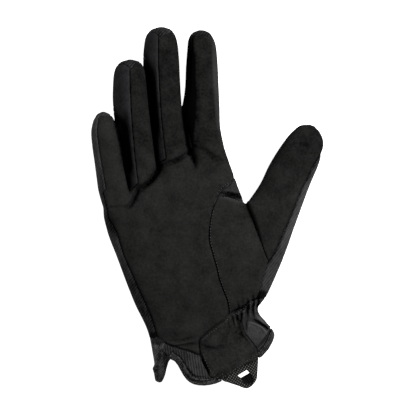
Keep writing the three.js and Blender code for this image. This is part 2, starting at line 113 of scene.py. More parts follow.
# Sections of the thumb, square to its axis, from the tip to the wrist: both ends, lowest, highest, roll
THUMB = (
    (66.2, 54.6, 70.6, 53.2, 12.6, 16.6, -8), (61, 54, 74.2, 49, 8.4, 20.8, -8),
    (57.4, 51.5, 76.2, 43.4, 5.8, 23.2, -8), (52.8, 46.8, 75.6, 37, 4, 24.6, -8),
    (46.5, 38, 72.6, 26.8, 3, 25.4, -8), (40.1, 27.3, 67.8, 15.6, 2.4, 25.6, -8),
    (34.6, 15.8, 62.6, 1.8, 2, 25.4, -8), (27.8, 5.6, 57.6, -12, 1.6, 25, -8),
    (24.6, 2.6, 56.3, -15.6, 1.5, 24.9, -8), (24.4, -10, 53, -25.2, 1.2, 24.4, -6),
    (23.5, -24.4, 47.9, -38.4, 1, 23.8, -4), (21, -38, 42.6, -50.2, 1, 23.6, -2),
    (17, -50, 37.4, -59.6, 1, 23.4, 0), (11, -61, 31.4, -66, 1, 23, 0),
)

FINGER_BLEND = 4.0  # how softly a finger runs into the hand
# How softly the thumb runs into the hand, at each y
THUMB_BLENDS = ((-44, 8), (-34, 4), (-12, 1.2), (-3, 1.4), (1, 1.5), (5, 1.5), (8, 0.5))
TABLE_BLEND = 2.0  # rounding where the back is pressed flat
SLOPES = (0.6, 4)  # the slope of a form is taken to lie between these when it is turned into mm


def through(rows, steps=8):
    """The rows with more rows between them, on a smooth curve."""
    rows = np.array(rows, float)
    spread = np.vstack([2 * rows[0] - rows[1], rows, 2 * rows[-1] - rows[-2]])
    curve = []
    for before, start, end, after in zip(spread, spread[1:], spread[2:], spread[3:]):
        for t in np.arange(steps) / steps:
            bend = 2 * before - 5 * start + 4 * end - after
            twist = 3 * (start - end) + after - before
            curve.append(start + t / 2 * (end - before + t * (bend + t * twist)))
    return np.array(curve + [rows[-1]])


def soft_min(a, b, width):
    overlap = np.maximum(width - np.abs(a - b), 0) / width
    return np.minimum(a, b) - overlap * overlap * width / 4


def soft_max(a, b, width):
    return -soft_min(-a, -b, width)


def rounded_reach(roll):
    """How far a rolled rounded box of half size 1 reaches sideways and upwards."""
    angle = np.linspace(0, 2 * np.pi, 73)  # every 5 degrees
    u = np.sign(np.cos(angle)) * np.abs(np.cos(angle)) ** (2 / SQUARENESS)
    v = np.sign(np.sin(angle)) * np.abs(np.sin(angle)) ** (2 / SQUARENESS)
    turn = np.radians(roll)[:, None]
    sideways = u * np.cos(turn) + v * np.sin(turn)
    upwards = v * np.cos(turn) - u * np.sin(turn)
    return sideways.max(1), upwards.max(1)


def tube(sections):
    """Millimetres outside a tube through the sections, distance from the tube's middle line, and angle
    round that line, at every point. A section is the x and y of both its ends, bow, lowest, highest, dip
    and roll."""
    rows = through(sections)
    left, right = rows[:, 0:2], rows[:, 2:4]
    bow, low, high, dip, roll = rows[:, 4:9].T
    middle = (left + right) / 2
    half = np.hypot(*(right - left).T) / 2
    across = (right - left) / (2 * half)[:, None]
    x, y = gx[:, None], gy[None, :]
    ahead = np.empty((len(rows), gx.size, gy.size), np.float32)
    for k, row in enumerate(ahead):
        side = (x - middle[k, 0]) * across[k, 0] + (y - middle[k, 1]) * across[k, 1]
        lift = bow[k] * (1 - np.clip(side / half[k], -1, 1) ** 2)
        row[:] = (y - middle[k, 1] - lift) * across[k, 0] - (x - middle[k, 0]) * across[k, 1]
    behind = np.clip((ahead <= 0).sum(0) - 1, 0, len(rows) - 2)
    near = np.take_along_axis(ahead, behind[None], 0)[0]
    far = np.take_along_axis(ahead, behind[None] + 1, 0)[0]
    part = np.clip(-near / np.where(far == near, 1, far - near), 0, 1)
    beyond = np.maximum(np.maximum(ahead[0], -ahead[-1]), 0)[:, :, None]

    def here(column):
        return (column[behind] * (1 - part) + column[behind + 1] * part).astype(np.float32)

    across_x, across_y, half_here = here(across[:, 0]), here(across[:, 1]), here(half)
    side = (x - here(middle[:, 0])) * across_x + (y - here(middle[:, 1])) * across_y
    lift = here(bow) * (1 - np.clip(side / half_here, -1, 1) ** 2)
    side = side - lift * across_y
    shape = side / half_here
    rise = gz[None, None, :] - here((low + high) / 2)[:, :, None]
    half_rise = here((high - low) / 2)[:, :, None]
    dipped = (here(dip) * (1 - np.clip(shape, -1, 1) ** 2) ** 2)[:, :, None]
    reach_x, reach_z = (here(r)[:, :, None] for r in rounded_reach(roll))
    turn = np.radians(here(roll))[:, :, None]
    u = shape[:, :, None] * reach_x
    v = (rise + dipped * np.clip(rise / half_rise, 0, 1)) / half_rise * reach_z
    u, v = u * np.cos(turn) - v * np.sin(turn), v * np.cos(turn) + u * np.sin(turn)
    level = (np.abs(u) ** SQUARENESS + np.abs(v) ** SQUARENESS) ** (1 / SQUARENESS)
    radius = np.sqrt(side[:, :, None] ** 2 + rise ** 2)
    outside = radius - radius / np.maximum(level, 0.001)
    outside = np.where(beyond > 0, np.hypot(np.maximum(outside, 0), beyond), outside)
    power = SQUARENESS / 2
    angle = np.arctan2(np.sign(v) * np.abs(v) ** power, np.sign(u) * np.abs(u) ** power)
    return outside.astype(np.float32), radius.astype(np.float32), np.degrees(angle).astype(np.float32)


def fade(value, start, end):
    t = np.clip((value - start) / (end - start), 0, 1)
    return t * t * (3 - 2 * t)


# Where neighbouring fingers touch: from the first y down to the second the slit between them closes
TOUCHING = {"ring": (66, 60), "middle": (100, 94), "index": (68, 62)}
TOUCH_BLEND = 4.6  # how softly they run together there
APART_BLEND = 0.1  # and elsewhere
TOUCH_HEIGHTS = (17, 11)  # heights between which that sets in, from above
# The fourchettes fold inwards there: how far, and between which y the fold deepens and fades again
INWARD = {
    "ring": (4.5, 66, 50, 30, 19), "middle": (4.2, 98, 82, 56, 43), "index": (2.2, 116, 100, 76, 64),
}
INWARD_ANGLES = (16, 44)  # half widths of the fold's floor and of its mouth
INWARD_MIDDLE = 181  # angle of the fold, on the side of the little finger
digits = {}  # what tube gives for each finger


def glove_form():
    """Millimetres outside the glove at every point, the thickness of the cloth not counted."""
    hand = tube([row + (0,) for row in HAND])[0]
    fingers = np.float32(FAR)
    within_grid = FINGERS if gy[-1] > 0 else {}
    for name, sections in within_grid.items():
        outside, radius, angle = tube([
            (left, y, right, y, 0, low, high, 0, roll) for y, left, right, low, high, roll in sections
        ])
        if name in INWARD:
            depth, start, deep, fading, end = INWARD[name]
            turned = np.abs((angle - INWARD_MIDDLE + 180) % 360 - 180)
            sunk = (depth * fade(gy, start, deep) * fade(gy, end, fading))[None, :, None]
            outside = outside + sunk * (1 - fade(turned, *INWARD_ANGLES)).astype(np.float32)
        digits[name] = outside, radius, angle
        # The first finger, which isn't named there, has none before it to run together with
        close_at = fade(gy, *TOUCHING.get(name, (0, 1)))[None, :, None] * fade(gz, *TOUCH_HEIGHTS)
        touching = APART_BLEND + TOUCH_BLEND * close_at.astype(np.float32)
        fingers = soft_min(fingers, outside, touching)
    thumb = tube([row[:4] + (0,) + row[4:6] + (0,) + row[6:] for row in THUMB])[0]
    width = np.interp(gy, *np.array(THUMB_BLENDS).T)[None, :, None]
    form = np.minimum(soft_min(fingers, hand, FINGER_BLEND), soft_min(thumb, hand, width))
    form = soft_max(form, -gz[None, None, :], TABLE_BLEND)
    slope = np.sqrt(sum(step * step for step in np.gradient(form, cell)))
    return (form / np.clip(slope, *SLOPES)).astype(np.float32)


def line_distance(points, closed=False):
    """Distance in plan from a line through the points, and the part of the line that is nearest."""
    points = np.array(points, float)
    ends = np.roll(points, -1, 0) if closed else points[1:]
    nearest = np.full((gx.size, gy.size), 1e9)
    part = np.zeros_like(nearest)
    count = len(ends)
    for k, ((ax, ay), (bx, by)) in enumerate(zip(points, ends)):
        dx, dy = bx - ax, by - ay
        length = max(dx * dx + dy * dy, 1e-9)
        t = np.clip(((gx[:, None] - ax) * dx + (gy[None, :] - ay) * dy) / length, 0, 1)
        away = np.hypot(gx[:, None] - ax - t * dx, gy[None, :] - ay - t * dy)
        closer = away < nearest
        nearest[closer] = away[closer]
        part[closer] = ((k + t) / count)[closer]
    return nearest, part


def area(points):
    """Signed distance in plan from an outline: below zero inside it."""
    away = line_distance(points, closed=True)[0]
    inside = np.zeros(away.shape, bool)
    points = np.array(points, float)
    for (ax, ay), (bx, by) in zip(points, np.roll(points, -1, 0)):
        if ay == by:
            continue
        between = (gy[None, :] > min(ay, by)) & (gy[None, :] <= max(ay, by))
        inside ^= between & (gx[:, None] < ax + (gy[None, :] - ay) / (by - ay) * (bx - ax))
    return np.where(inside, -away, away).astype(np.float32)


folds = []
PAINTED_SHADE_PER_MM = 0.3  # painted shade: how much darker a fold is painted for each mm of its depth, for the shade that lies in it
FOLD_HEIGHTS = (6, 13)  # heights between which folds set in, as they are on the palm side alone
FOLD_REACH = 3  # widths from its line within which a fold is worked out
FOLD_ENDS = (0.02, 0.98)  # parts of its line beyond which a tapered fold gets no weaker


def fold(points, depth, width, painted_shade=None, tapered=True):
    """Notes a groove along a line into the palm side, or a ridge where depth is below zero, and the
    shade painted into the cloth along it, a painted highlight where that is below zero."""
    folds.append((points, depth, width, PAINTED_SHADE_PER_MM * depth if painted_shade is None else painted_shade, tapered))


def folded(form):
    """The form with the folds noted so far. The shade and highlights painted along them are kept for the
    cloth's colour.
    """
    global painted_fold_shade
    relief = np.zeros((gx.size, gy.size))
    painted_fold_shade = np.zeros((gx.size, gy.size))
    for points, depth, width, painted_shade, tapered in folds:
        points = np.array(points, float)
        near = FOLD_REACH * width
        before_grid = points.max(0) + near < (gx[0], gy[0])
        past_grid = points.min(0) - near > (gx[-1], gy[-1])
        if before_grid.any() or past_grid.any():
            continue
        away, part = line_distance(through(points, steps=4))
        strength = np.sin(np.pi * np.clip(part, *FOLD_ENDS)) ** 0.5 if tapered else 1
        shape = strength * np.exp(-((away / width) ** 2))
        relief += depth * shape
        painted_fold_shade += painted_shade * shape
    return form + (relief[:, :, None] * fade(gz, *FOLD_HEIGHTS)[None, None, :]).astype(np.float32)


# Creases where the fingers bend from the palm: points, depth, width, and for some how much shade is
# painted along them
for crease in (
    (((-66, 0), (-63.4, -0.5), (-57, 0), (-53.5, 0.6)), 0.9, 1.1),
    (((-55, -1.2), (-52.2, 0.5), (-49.6, 3.6), (-47.9, 7), (-46.6, 10), (-45.4, 13)), 3.2, 1.5),
    (((-45.5, 10.6), (-42.9, 12.7), (-39.6, 15.3), (-37, 18), (-34.3, 22), (-32.6, 27)), 3.8, 1.9),
    (((-31.5, 26.2), (-26.4, 28.6), (-23.8, 29.2), (-18.5, 31.8), (-15.8, 33.8), (-11.5, 36.8)),
     2.9, 1.5),
    (((-8.6, 38.8), (-2.6, 37.8), (0, 35.1), (2.6, 33.2), (7.3, 30.9), (12, 28)), 1.9, 2.0),
    (((-10.6, 36.5), (-9.2, 32.5), (-8.9, 28), (-9.3, 24)), 1.9, 1.4),
    (((-52, -5), (-47, -3), (-43, 2), (-40, 8)), -0.5, 2.2),
    (((-34, 12), (-29, 19), (-24, 24), (-16, 27)), -0.4, 2.5),
    # Soft folds across the wrist, and the gathers that the elastic makes in its seam
    (((-26.3, -89.9), (-20.9, -89.9), (-15, -88.7), (-12.1, -88.1), (-7.3, -87.3)), -0.9, 0.9, -0.5),
    (((-26.4, -87.9), (-19.8, -88), (-13.2, -86.3), (-9, -85.5)), 0.9, 0.8, 0.5),
    (((-24, -91.2), (-17, -91), (-11, -89.8), (-6.5, -90)), 0.8, 0.8, 0.5),
    (((-30, -82), (-24, -84), (-14, -82)), 0.4, 2.5),
    (((-14, -70), (2, -72), (8, -68)), 0.4, 4.0),
    (((15.5, -69.4), (18.2, -68.2), (20.9, -67.5), (23, -66.6), (24.3, -64.5)), 2.4, 1.0),
    (((16.5, -71.3), (18.9, -70.8), (21.6, -69.4), (24.3, -68.1), (25.4, -65.2)), -0.9, 0.7, -0.7),
    (((29, -57), (29.6, -62), (29.2, -68), (30.1, -73.5)), 2.0, 0.9),
    (((25.2, -60), (26, -65), (25.2, -68.6), (25.6, -73.1)), 1.8, 0.9),
    (((21.3, -68.5), (21.6, -71), (21.3, -74), (20.5, -77)), 2.2, 0.8),
    (((13, -74), (20, -71.5), (27, -69), (36, -66)), 1.1, 4.5),
    (((18.3, -70), (18.8, -72.5), (19.5, -75.5), (20.2, -80)), 2.0, 0.8),
    (((15.2, -70.5), (16.2, -74.4), (16.5, -78.7)), 1.3, 0.9),
    (((31.7, -57), (32.8, -62), (31.9, -66.5), (32.4, -71.1)), 1.9, 0.9),
    (((27, -60), (27.9, -65), (27.4, -68.6), (28.1, -72.6)), -0.7, 0.7, -0.5),
    (((23.4, -66), (23.5, -70), (23.2, -75)), -0.8, 0.8, -0.4),
    (((18.6, -61), (19.6, -65), (19.8, -67.6)), 0.9, 0.8),
    (((22.4, -59), (22.6, -63), (21.9, -66.2)), 0.9, 0.7),
    (((12.2, -72), (13.2, -75), (13, -79)), 0.9, 0.8),
    (((17.4, -72), (18, -76), (19.2, -79)), -0.6, 0.6, -0.6),
    # The web between the palm and the thumb
    (((12, 9.4), (15.8, 8.2), (18.5, 7.2), (21.1, 5.6), (25, 2.8)), 1.0, 1.0),
    (((6.4, 6.6), (11, 5.7), (15.2, 4.7), (19.4, 3.2), (22, 2)), -0.5, 1.1, -0.9),
    (((24.9, 3), (27.8, -3.8), (30.3, -10.1), (32.9, -17.6), (35, -23.5)), 1.8, 1.3, 0.9),
    # Where the palm's corner is folded up under the patch
    (((-11, -92.6), (-7, -93.6), (-4.6, -95)), -0.5, 1.2, -0.6),
):
    fold(*crease)

LITTLE_SIDE_SEAM = (
    (-70.5, 24), (-69, 10), (-66.4, 0), (-65, -6.8), (-62.4, -11.9), (-59.6, -17.4), (-57.6, -24.5),
    (-54.9, -32.6), (-52.6, -37.6), (-47.8, -48.7), (-42.2, -60.9), (-37.2, -72.5), (-33, -86.5),
)
WRIST_SEAM = (
    (-33, -86.5), (-27, -90), (-17.8, -93.2), (-12.3, -94.6), (-5, -97.4), (-5.6, -87.5), (0.9, -81.1),
    (10.1, -74.4), (13.7, -70.5), (18, -68.8), (22.5, -66), (25.5, -63.2), (29, -61.5), (33, -60),
)
THENAR_SEAM = (
    (6, 7), (2.6, -1.8), (1, -11), (0.7, -21.6), (2.6, -29.5), (5.3, -38.8), (7.3, -47.4),
    (9.9, -54.6), (12.9, -62.5), (13.7, -70.5),
)
THUMB_SIDE_SEAM = (
    (39.4, -36.5), (42.4, -32), (47.4, -22.7), (52.4, -10.5), (55.7, -2.6), (59.4, 6.7), (62.2, 13.5),
    (65, 18.4), (68.4, 25), (72, 31.5), (80, 42),
)
GUSSET_PALM_SEAM = ((19.6, 24), (17.2, 19.8), (14.6, 15.9), (10.8, 12.9), (7.8, 10), (6, 7))
FINGER_BASES = (
    (-66.5, 12), (-52, 10), (-47.5, 14), (-36, 26), (-31.5, 29.5), (-19, 36), (-13.5, 39), (6, 34),
)
PALM_WEB_CORNER = ((24, 34), (24, 27.5))
PALM_SPLIT = 11  # height of the palm's side seam above the table
STRIP_THICKNESS = 3  # enough for the cloth of a finger and what stands out from it
BASE_ALLOWANCE = 8  # how far below a finger's base its front and sides reach
# Angles round each finger, from its thumb side, between which the palm's suede covers it
FRONT = {"little": (5, 108), "ring": (30, 127), "middle": (30, 130), "index": (22, 152)}

# The back's twill laps over each fingertip, above these lines
TIP_CAPS = (
    ((-80, 60.6), (-71, 59.6), (-68, 59.2), (-63, 60.4), (-61, 66), (-80, 66)),
    ((-66, 92.6), (-55, 94), (-50.2, 90.5), (-48.6, 94), (-45, 95.2), (-41, 99), (-66, 101)),
    ((-46, 115), (-35, 115), (-31.6, 111.6), (-28.5, 113.6), (-25, 115.4), (-18, 116.5), (-18, 124),
     (-46, 124)),
    ((-20, 111), (-11, 112), (-4, 113.2), (2, 112), (10, 109), (10, 122), (-20, 122)),
)

CAP_FLATNESS = 0.8  # share by which their seams roll in less than others
CAP_REACH = (2.5, 1.0)  # mm from such a seam, where that sets in and where it is full

# Painted shade along the seams, darkest along the thumb's side seam
for seam in (LITTLE_SIDE_SEAM, THENAR_SEAM, GUSSET_PALM_SEAM, WRIST_SEAM):
    fold(seam, depth=0.4, width=0.8, painted_shade=0.5, tapered=False)
fold(THUMB_SIDE_SEAM, depth=0.5, width=0.8, painted_shade=1.1, tapered=False)

# The hem's line on the palm side, and its line on the back, which lies below
PALM_HEM = (
    (-60, -95), (-36, -95), (-28, -95.5), (-26.2, -98), (-24, -99.8), (-21.8, -100.8), (-19.9, -103.1),
    (-18, -106.4), (-16, -110), (-14, -112.7), (-12, -114.5), (-9.4, -115.8), (-6.4, -116.5),
    (-2.6, -116.7), (1.3, -116.3), (5.3, -115.3), (9.2, -113.7), (13.2, -110.4), (17.2, -107.4),
    (21.1, -104.4), (25.1, -102.2), (30.5, -100.8), (35.4, -97.8), (39.7, -93.2), (42.4, -88.5),
    (44.4, -83.6), (48, -78), (80, -70),
)
BACK_HEM = (
    (-60, -106), (-37, -109), (-35.6, -112.5), (-34.5, -113.8), (-32, -115), (-29.5, -113.7),
    (-28.3, -111), (-27.6, -107.5), (-26, -102), (-22, -98), (-12, -95.5), (10, -94), (30, -93),
    (36, -90), (40, -85), (46, -75), (80, -70),
)
HEM_SPLIT = (10.5, 13.5)  # heights between which one line turns into the other
HEM_ROUNDING = 0.8
STEEPEST_HEM = 2.5


def cloth_of(form):
    """Millimetres outside the cloth: the walls of the form, cut off at the hem."""
    palm_hem, back_hem = (np.interp(gx, *np.array(hem).T)[:, None] for hem in (PALM_HEM, BACK_HEM))
    palm_side = fade(gz, *HEM_SPLIT)[None, :]
    hem = (back_hem * (1 - palm_side) + palm_hem * palm_side)[:, None, :]
    slope = np.sqrt(1 + np.clip(np.gradient(hem, cell, axis=0), -STEEPEST_HEM, STEEPEST_HEM) ** 2)
    below_hem = ((hem - gy[None, :, None]) / slope).astype(np.float32)
    return soft_max(np.abs(form + WALL / 2) - WALL / 2, below_hem, HEM_ROUNDING), below_hem


def height_of(form):
    """Height of the glove's upper surface over the whole grid."""
    inside = form < 0
    highest = gz.size - 2 - np.argmax(inside[:, :, -2::-1], axis=2)
    below = np.take_along_axis(form, highest[:, :, None], 2)[:, :, 0]
    above = np.take_along_axis(form, highest[:, :, None] + 1, 2)[:, :, 0]
    top = gz[highest] + cell * np.clip(below / np.where(below == above, 1, below - above), 0, 1)
    return np.where(inside.any(2), top, 0)


def sampled(grid, x, y):
    """Values between those of the grid at points in plan."""
    i = np.clip((np.asarray(x) - gx[0]) / cell, 0, gx.size - 1.001)
    j = np.clip((np.asarray(y) - gy[0]) / cell, 0, gy.size - 1.001)
    a, b = i.astype(int), j.astype(int)
    i, j = i - a, j - b
    low = grid[a, b] * (1 - i) + grid[a + 1, b] * i
    high = grid[a, b + 1] * (1 - i) + grid[a + 1, b + 1] * i
    return low * (1 - j) + high * j


def above_height(outline, split):
    """What lies inside an outline in plan and above the height at which it is split off."""
    return np.maximum(area(outline)[:, :, None], (split - gz)[None, None, :])


def finger_strip(name, start, end):
    """The strip of a finger's cloth between two angles, from its thumb side over its front."""
    outside, radius, angle = digits[name]
    turned = np.abs((angle - (start + end) / 2 + 180) % 360 - 180) - (end - start) / 2
    others = np.minimum.reduce([digits[other][0] for other in digits if other != name])
    return np.maximum.reduce([
        np.radians(turned) * radius, (outside - others) / 2, outside - STRIP_THICKNESS,
    ])


def surface(field, start, cell):
    """A closed mesh where the field is zero, with one point in each cell that it passes through."""
    inside = field < 0
    shape = np.array(field.shape) - 1
    corners = [np.array(c) for c in np.ndindex(2, 2, 2)]
    count = sum(
        inside[i:i + shape[0], j:j + shape[1], k:k + shape[2]].astype(np.int8) for i, j, k in corners
    )
    passed = (count > 0) & (count < 8)
    cells = np.argwhere(passed)
    number = np.full(passed.shape, -1, np.int64)
    number[passed] = np.arange(len(cells))
    total = np.zeros((len(cells), 3))
    hits = np.zeros(len(cells))
    for a in corners:
        for axis in range(3):
            if a[axis]:
                continue
            step = np.eye(3, dtype=int)[axis]
            low = field[tuple((cells + a).T)]
            high = field[tuple((cells + a + step).T)]
            crossed = (low < 0) != (high < 0)
            t = np.where(crossed, low / np.where(low == high, 1, low - high), 0)
            total += (a + t[:, None] * step) * crossed[:, None]
            hits += crossed
    points = start + (cells + total / hits[:, None]) * cell
    faces = []
    for axis in range(3):
        along = [np.eye(3, dtype=int)[(axis + turn) % 3] for turn in range(3)]
        lower = inside[tuple(slice(0, n) if a == axis else slice(None) for a, n in enumerate(shape))]
        upper = inside[tuple(slice(1, None) if a == axis else slice(None) for a in range(3))]
        edges = np.argwhere(lower != upper)
        others = [(axis + 1) % 3, (axis + 2) % 3]
        kept = np.all([(edges[:, o] > 0) & (edges[:, o] < shape[o]) for o in others], axis=0)
        edges = edges[kept]
        ring = [
            number[tuple((edges - back).T)]
            for back in (along[1] + along[2], along[2], np.zeros(3, int), along[1])
        ]
        quads = np.stack(ring, 1)
        outward = lower[tuple(edges.T)]
        faces.append(np.where(outward[:, None], quads, quads[:, ::-1]))
    return points, np.vstack(faces)


def without_crumbs(points, faces, least=300):
    """The mesh without small loose bits."""
    label = np.arange(len(points))
    ends = np.vstack([faces[:, [a, (a + 1) % 4]] for a in range(4)])
    while True:
        lower = np.minimum(label[ends[:, 0]], label[ends[:, 1]])
        new = label.copy()
        np.minimum.at(new, ends[:, 0], lower)
        np.minimum.at(new, ends[:, 1], lower)
        new = new[new]
        if (new == label).all():
            break
        label = new
    size = np.bincount(label, minlength=len(points))
    kept = size[label] >= least
    number = np.cumsum(kept) - 1
    return points[kept], number[faces[kept[faces].all(1)]]


def add_object(name, data):
    thing = bpy.data.objects.new(name, data)
    bpy.context.scene.collection.objects.link(thing)
    return thing


def add_piece(name, points, faces, material):
    """Adds a piece of the glove, given its points in mm and its faces."""
    mesh = bpy.data.meshes.new(name)
    mesh.from_pydata(((points + ROW_SHIFT) * MM).tolist(), [], faces.tolist())
    mesh.polygons.foreach_set("use_smooth", np.ones(len(mesh.polygons), bool))
    mesh.materials.append(material)
    piece = add_object(name, mesh)
    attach(piece, "root")
    return piece


MOST_TRIANGLES = 184000  # a body with more is thinned where it is flattest
PAINTED_FOLD_SHADE_LIMIT = 1.6  # most that the painted shade and painted highlights of folds on top of each other add up to


def add_body(name, body, material):
    """Adds the surface of a body that is worked out on the whole grid."""
    held = np.argwhere(body < 0)
    low = np.maximum(held.min(0) - 2, 0)
    high = held.max(0) + 3
    body = body[low[0]:high[0], low[1]:high[1], low[2]:high[2]]
    body = np.pad(body, 1, constant_values=1)
    points, faces = surface(body, np.array([gx[0], gy[0], gz[0]]) + (low - 1) * cell, cell)
    points, faces = without_crumbs(points, faces)
    piece = add_piece(name, points, faces, material)
    # Painted shade in the grooves of the folds and painted highlights on their ridges, kept on each point
    # for the cloth's colour
    shade = sampled(painted_fold_shade, points[:, 0], points[:, 1]) * fade(points[:, 2], *FOLD_HEIGHTS)
    layer = piece.data.attributes.new("painted_fold_shade", "FLOAT", "POINT")
    layer.data.foreach_set("value", np.clip(shade, -PAINTED_FOLD_SHADE_LIMIT, PAINTED_FOLD_SHADE_LIMIT).astype(np.float32))
    smooth = piece.modifiers.new("Smooth", "SMOOTH")
    smooth.factor = 0.5
    smooth.iterations = 2
    if 2 * len(faces) > MOST_TRIANGLES:
        thinned = piece.modifiers.new("Thinned", "DECIMATE")
        thinned.ratio = MOST_TRIANGLES / (2 * len(faces))
    return piece


def panel(name, region, material, thicker=0.0, allowance=False):
    """Cuts a panel out of the cloth that is left, with a seam gap round it, and adds it."""
    global taken
    upward = fade(gz, *ROLL_HEIGHTS)[None, None, :]
    roll = (SEAM_ROLL * (SIDE_ROLL + (1 - SIDE_ROLL) * upward)).astype(np.float32) * roll_share
    body = soft_max(cloth - thicker, region + SEAM_GAP / 2, roll)
    body = soft_max(body, SEAM_GAP / 2 - taken, roll)
    if allowance:
        near, far = ALLOWANCE_DEPTH
        near = near * (SIDE_DEPTH + (1 - SIDE_DEPTH) * upward).astype(np.float32)
        turned_in = np.maximum(form + near, -far - form)
        strip = np.maximum(np.maximum(turned_in, region), np.maximum(below_hem, -ALLOWANCE - taken))
        body = np.minimum(body, strip)
    taken = np.minimum(taken, region)
    return add_body(name, body, material)


def add_node(material, kind, inputs, **settings):
    """Adds a shader node. Each input is given a number or colour, or the output that it is linked to."""
    node = material.node_tree.nodes.new("ShaderNode" + kind)
    for name, value in settings.items():
        setattr(node, name, value)
    for name, value in inputs.items():
        if isinstance(value, bpy.types.NodeSocket):
            material.node_tree.links.new(value, node.inputs[name])
        else:
            node.inputs[name].default_value = value
    return node


def fabric(name, roughness, specular):
    """A cloth finish, its shader, and the place in the object that its patterns are worked out from."""
    material = bpy.data.materials.new(name)
    material.use_nodes = True
    shader = material.node_tree.nodes["Principled BSDF"]
    shader.inputs["Roughness"].default_value = roughness
    shader.inputs["Specular IOR Level"].default_value = specular
    return material, shader, add_node(material, "TexCoord", {}).outputs["Object"]


def painted_fold_shade_of(material):
    """The shade and highlights that are painted into the cloth along the folds."""
    return add_node(material, "Attribute", {}, attribute_name="painted_fold_shade").outputs["Fac"]


def noise(material, place, size, detail=2.0, stretch=(1, 1, 1)):
    """Noise with features of a size in mm."""
    scale = [1000 / size / s for s in stretch]
    scaled = add_node(material, "Mapping", {"Vector": place, "Scale": scale}).outputs["Vector"]
    return add_node(
        material, "TexNoise", {"Vector": scaled, "Scale": 1.0, "Detail": detail},
    ).outputs["Fac"]


def weighted(material, parts):
    """The sum of outputs, each times its weight."""
    total = 0.0
    for output, weight in parts:
        inputs = {0: output, 1: weight, 2: total}
        total = add_node(material, "Math", inputs, operation="MULTIPLY_ADD").outputs[0]
    return total


def product(material, a, b):
    return add_node(material, "Math", {0: a, 1: b}, operation="MULTIPLY").outputs[0]


def stripes(material, place, pitch, angle, wobble):
    """Wavy stripes of a pitch in mm, from 0 to 1, turned from running along y by an angle in degrees."""
    turned = add_node(material, "Mapping", {
        "Vector": place, "Rotation": (0, 0, np.radians(angle)), "Scale": [2000 * np.pi / pitch] * 3,
    }).outputs["Vector"]
    across = add_node(material, "SeparateXYZ", {"Vector": turned}).outputs["X"]
    bent = weighted(material, ((across, 1.0), (noise(material, place, size=2.5), wobble)))
    wave = add_node(material, "Math", {0: bent}, operation="SINE").outputs[0]
    return add_node(material, "Math", {0: wave, 1: 0.5, 2: 0.5}, operation="MULTIPLY_ADD").outputs[0]


def smooth_step(material, value, start, end):
    """From 0 to 1 where a value goes from start to end."""
    return add_node(
        material, "MapRange", {"Value": value, "From Min": start, "From Max": end},
        interpolation_type="SMOOTHSTEP",
    ).outputs["Result"]


def ramped(material, place, axis, start, end):
    """From 0 to 1 between two places in mm along an axis."""
    along = add_node(material, "SeparateXYZ", {"Vector": place}).outputs[axis]
    return smooth_step(material, along, start * MM, end * MM)


def blot(material, place, centre, size, angle, core=0.5):
    """An upright elliptic column, 1 inside the core and 0 outside the size; places in mm."""
    fitted = add_node(material, "Mapping", {
        "Vector": place, "Location": [*((np.array(centre) + ROW_SHIFT[:2]) * MM), 0],
        "Rotation": (0, 0, np.radians(angle)), "Scale": (size[0] * MM, size[1] * MM, 1),
    }, vector_type="TEXTURE").outputs["Vector"]
    ball = add_node(material, "TexGradient", {"Vector": fitted}, gradient_type="SPHERICAL")
    return smooth_step(material, ball.outputs["Fac"], 0.0, core)


def painted_light_spots(material, place, light_and_shade_spots):
    """Soft spots of painted shade and painted highlight, darker or lighter than the cloth round them:
    centre, size, angle, weight.
    """
    return [(blot(material, place, *spot), weight) for *spot, weight in light_and_shade_spots]


def colour_between(material, shader, factor, dark, light, start=0.3, end=0.7):
    """Colours the cloth from dark to light where the factor goes from start to end."""
    ramp = add_node(material, "ValToRGB", {"Fac": factor})
    for stop, place, colour in zip(ramp.color_ramp.elements, (start, end), (dark, light)):
        stop.position = place
        stop.color = (*colour, 1)
    material.node_tree.links.new(ramp.outputs["Color"], shader.inputs["Base Color"])


def bumped(material, shader, height, depth_mm):
    bump = add_node(material, "Bump", {"Height": height, "Strength": 1.0, "Distance": depth_mm * MM})
    material.node_tree.links.new(bump.outputs["Normal"], shader.inputs["Normal"])


# The fingers' fronts are coloured darker, but not the little finger's: this sets in upwards between the
# first two places and to the right between the next two
DARKENED_UP = (15, 50)
DARKENED_RIGHT = (-66, -56)
FINGERS_DARKENED = -0.135


def suede_finish(name, light_and_shade_spots, contrast):
    """Suede with painted shade and painted highlights in some spots."""
    material, shader, place = fabric(name, roughness=0.95, specular=0)
    nap = noise(material, place, size=0.5, detail=3)
    grain = noise(material, place, size=1.6)
    clouds = noise(material, place, size=9, detail=3)
    darkened_fingers = product(
        material, ramped(material, place, "Y", *DARKENED_UP), ramped(material, place, "X", *DARKENED_RIGHT),
    )
    shade = weighted(material, (
        (clouds, 0.4), (grain, 0.35), (nap, 0.25), (painted_fold_shade_of(material), -0.22),
        *painted_light_spots(material, place, light_and_shade_spots), (darkened_fingers, FINGERS_DARKENED),
    ))
    colour_between(
        material, shader, shade, (0.0008, 0.0008, 0.0008), (0.0167, 0.0167, 0.0160),
        start=0.5 - 0.4 / contrast, end=0.5 + 0.4 / contrast,
    )
    bumped(material, shader, weighted(material, ((nap, 1.0), (grain, 0.8))), depth_mm=0.16)
    return material


# Painted shade on the index finger's left side, which faces away from the lamp, and a painted highlight
# on its right side; further lighter and darker painted spots on the palm, the little finger and the thumb
suede = suede_finish("suede", (
    ((-12.2, 78), (5.4, 48), 0, -0.3), ((-12.4, 78), (4.4, 46), 0, -0.3),
    ((-9.4, 60), (5.6, 34), 0, -0.07), ((6.8, 82), (4.4, 46), 3, 0.38),
    ((-57, -33), (6, 6), 0, 0.12), ((-66, 28), (9, 44), 0, 0.07),
    ((18, -2), (14, 6), -15, -0.06), ((52, 24), (16, 30), -30, -0.05),
), contrast=1.25)

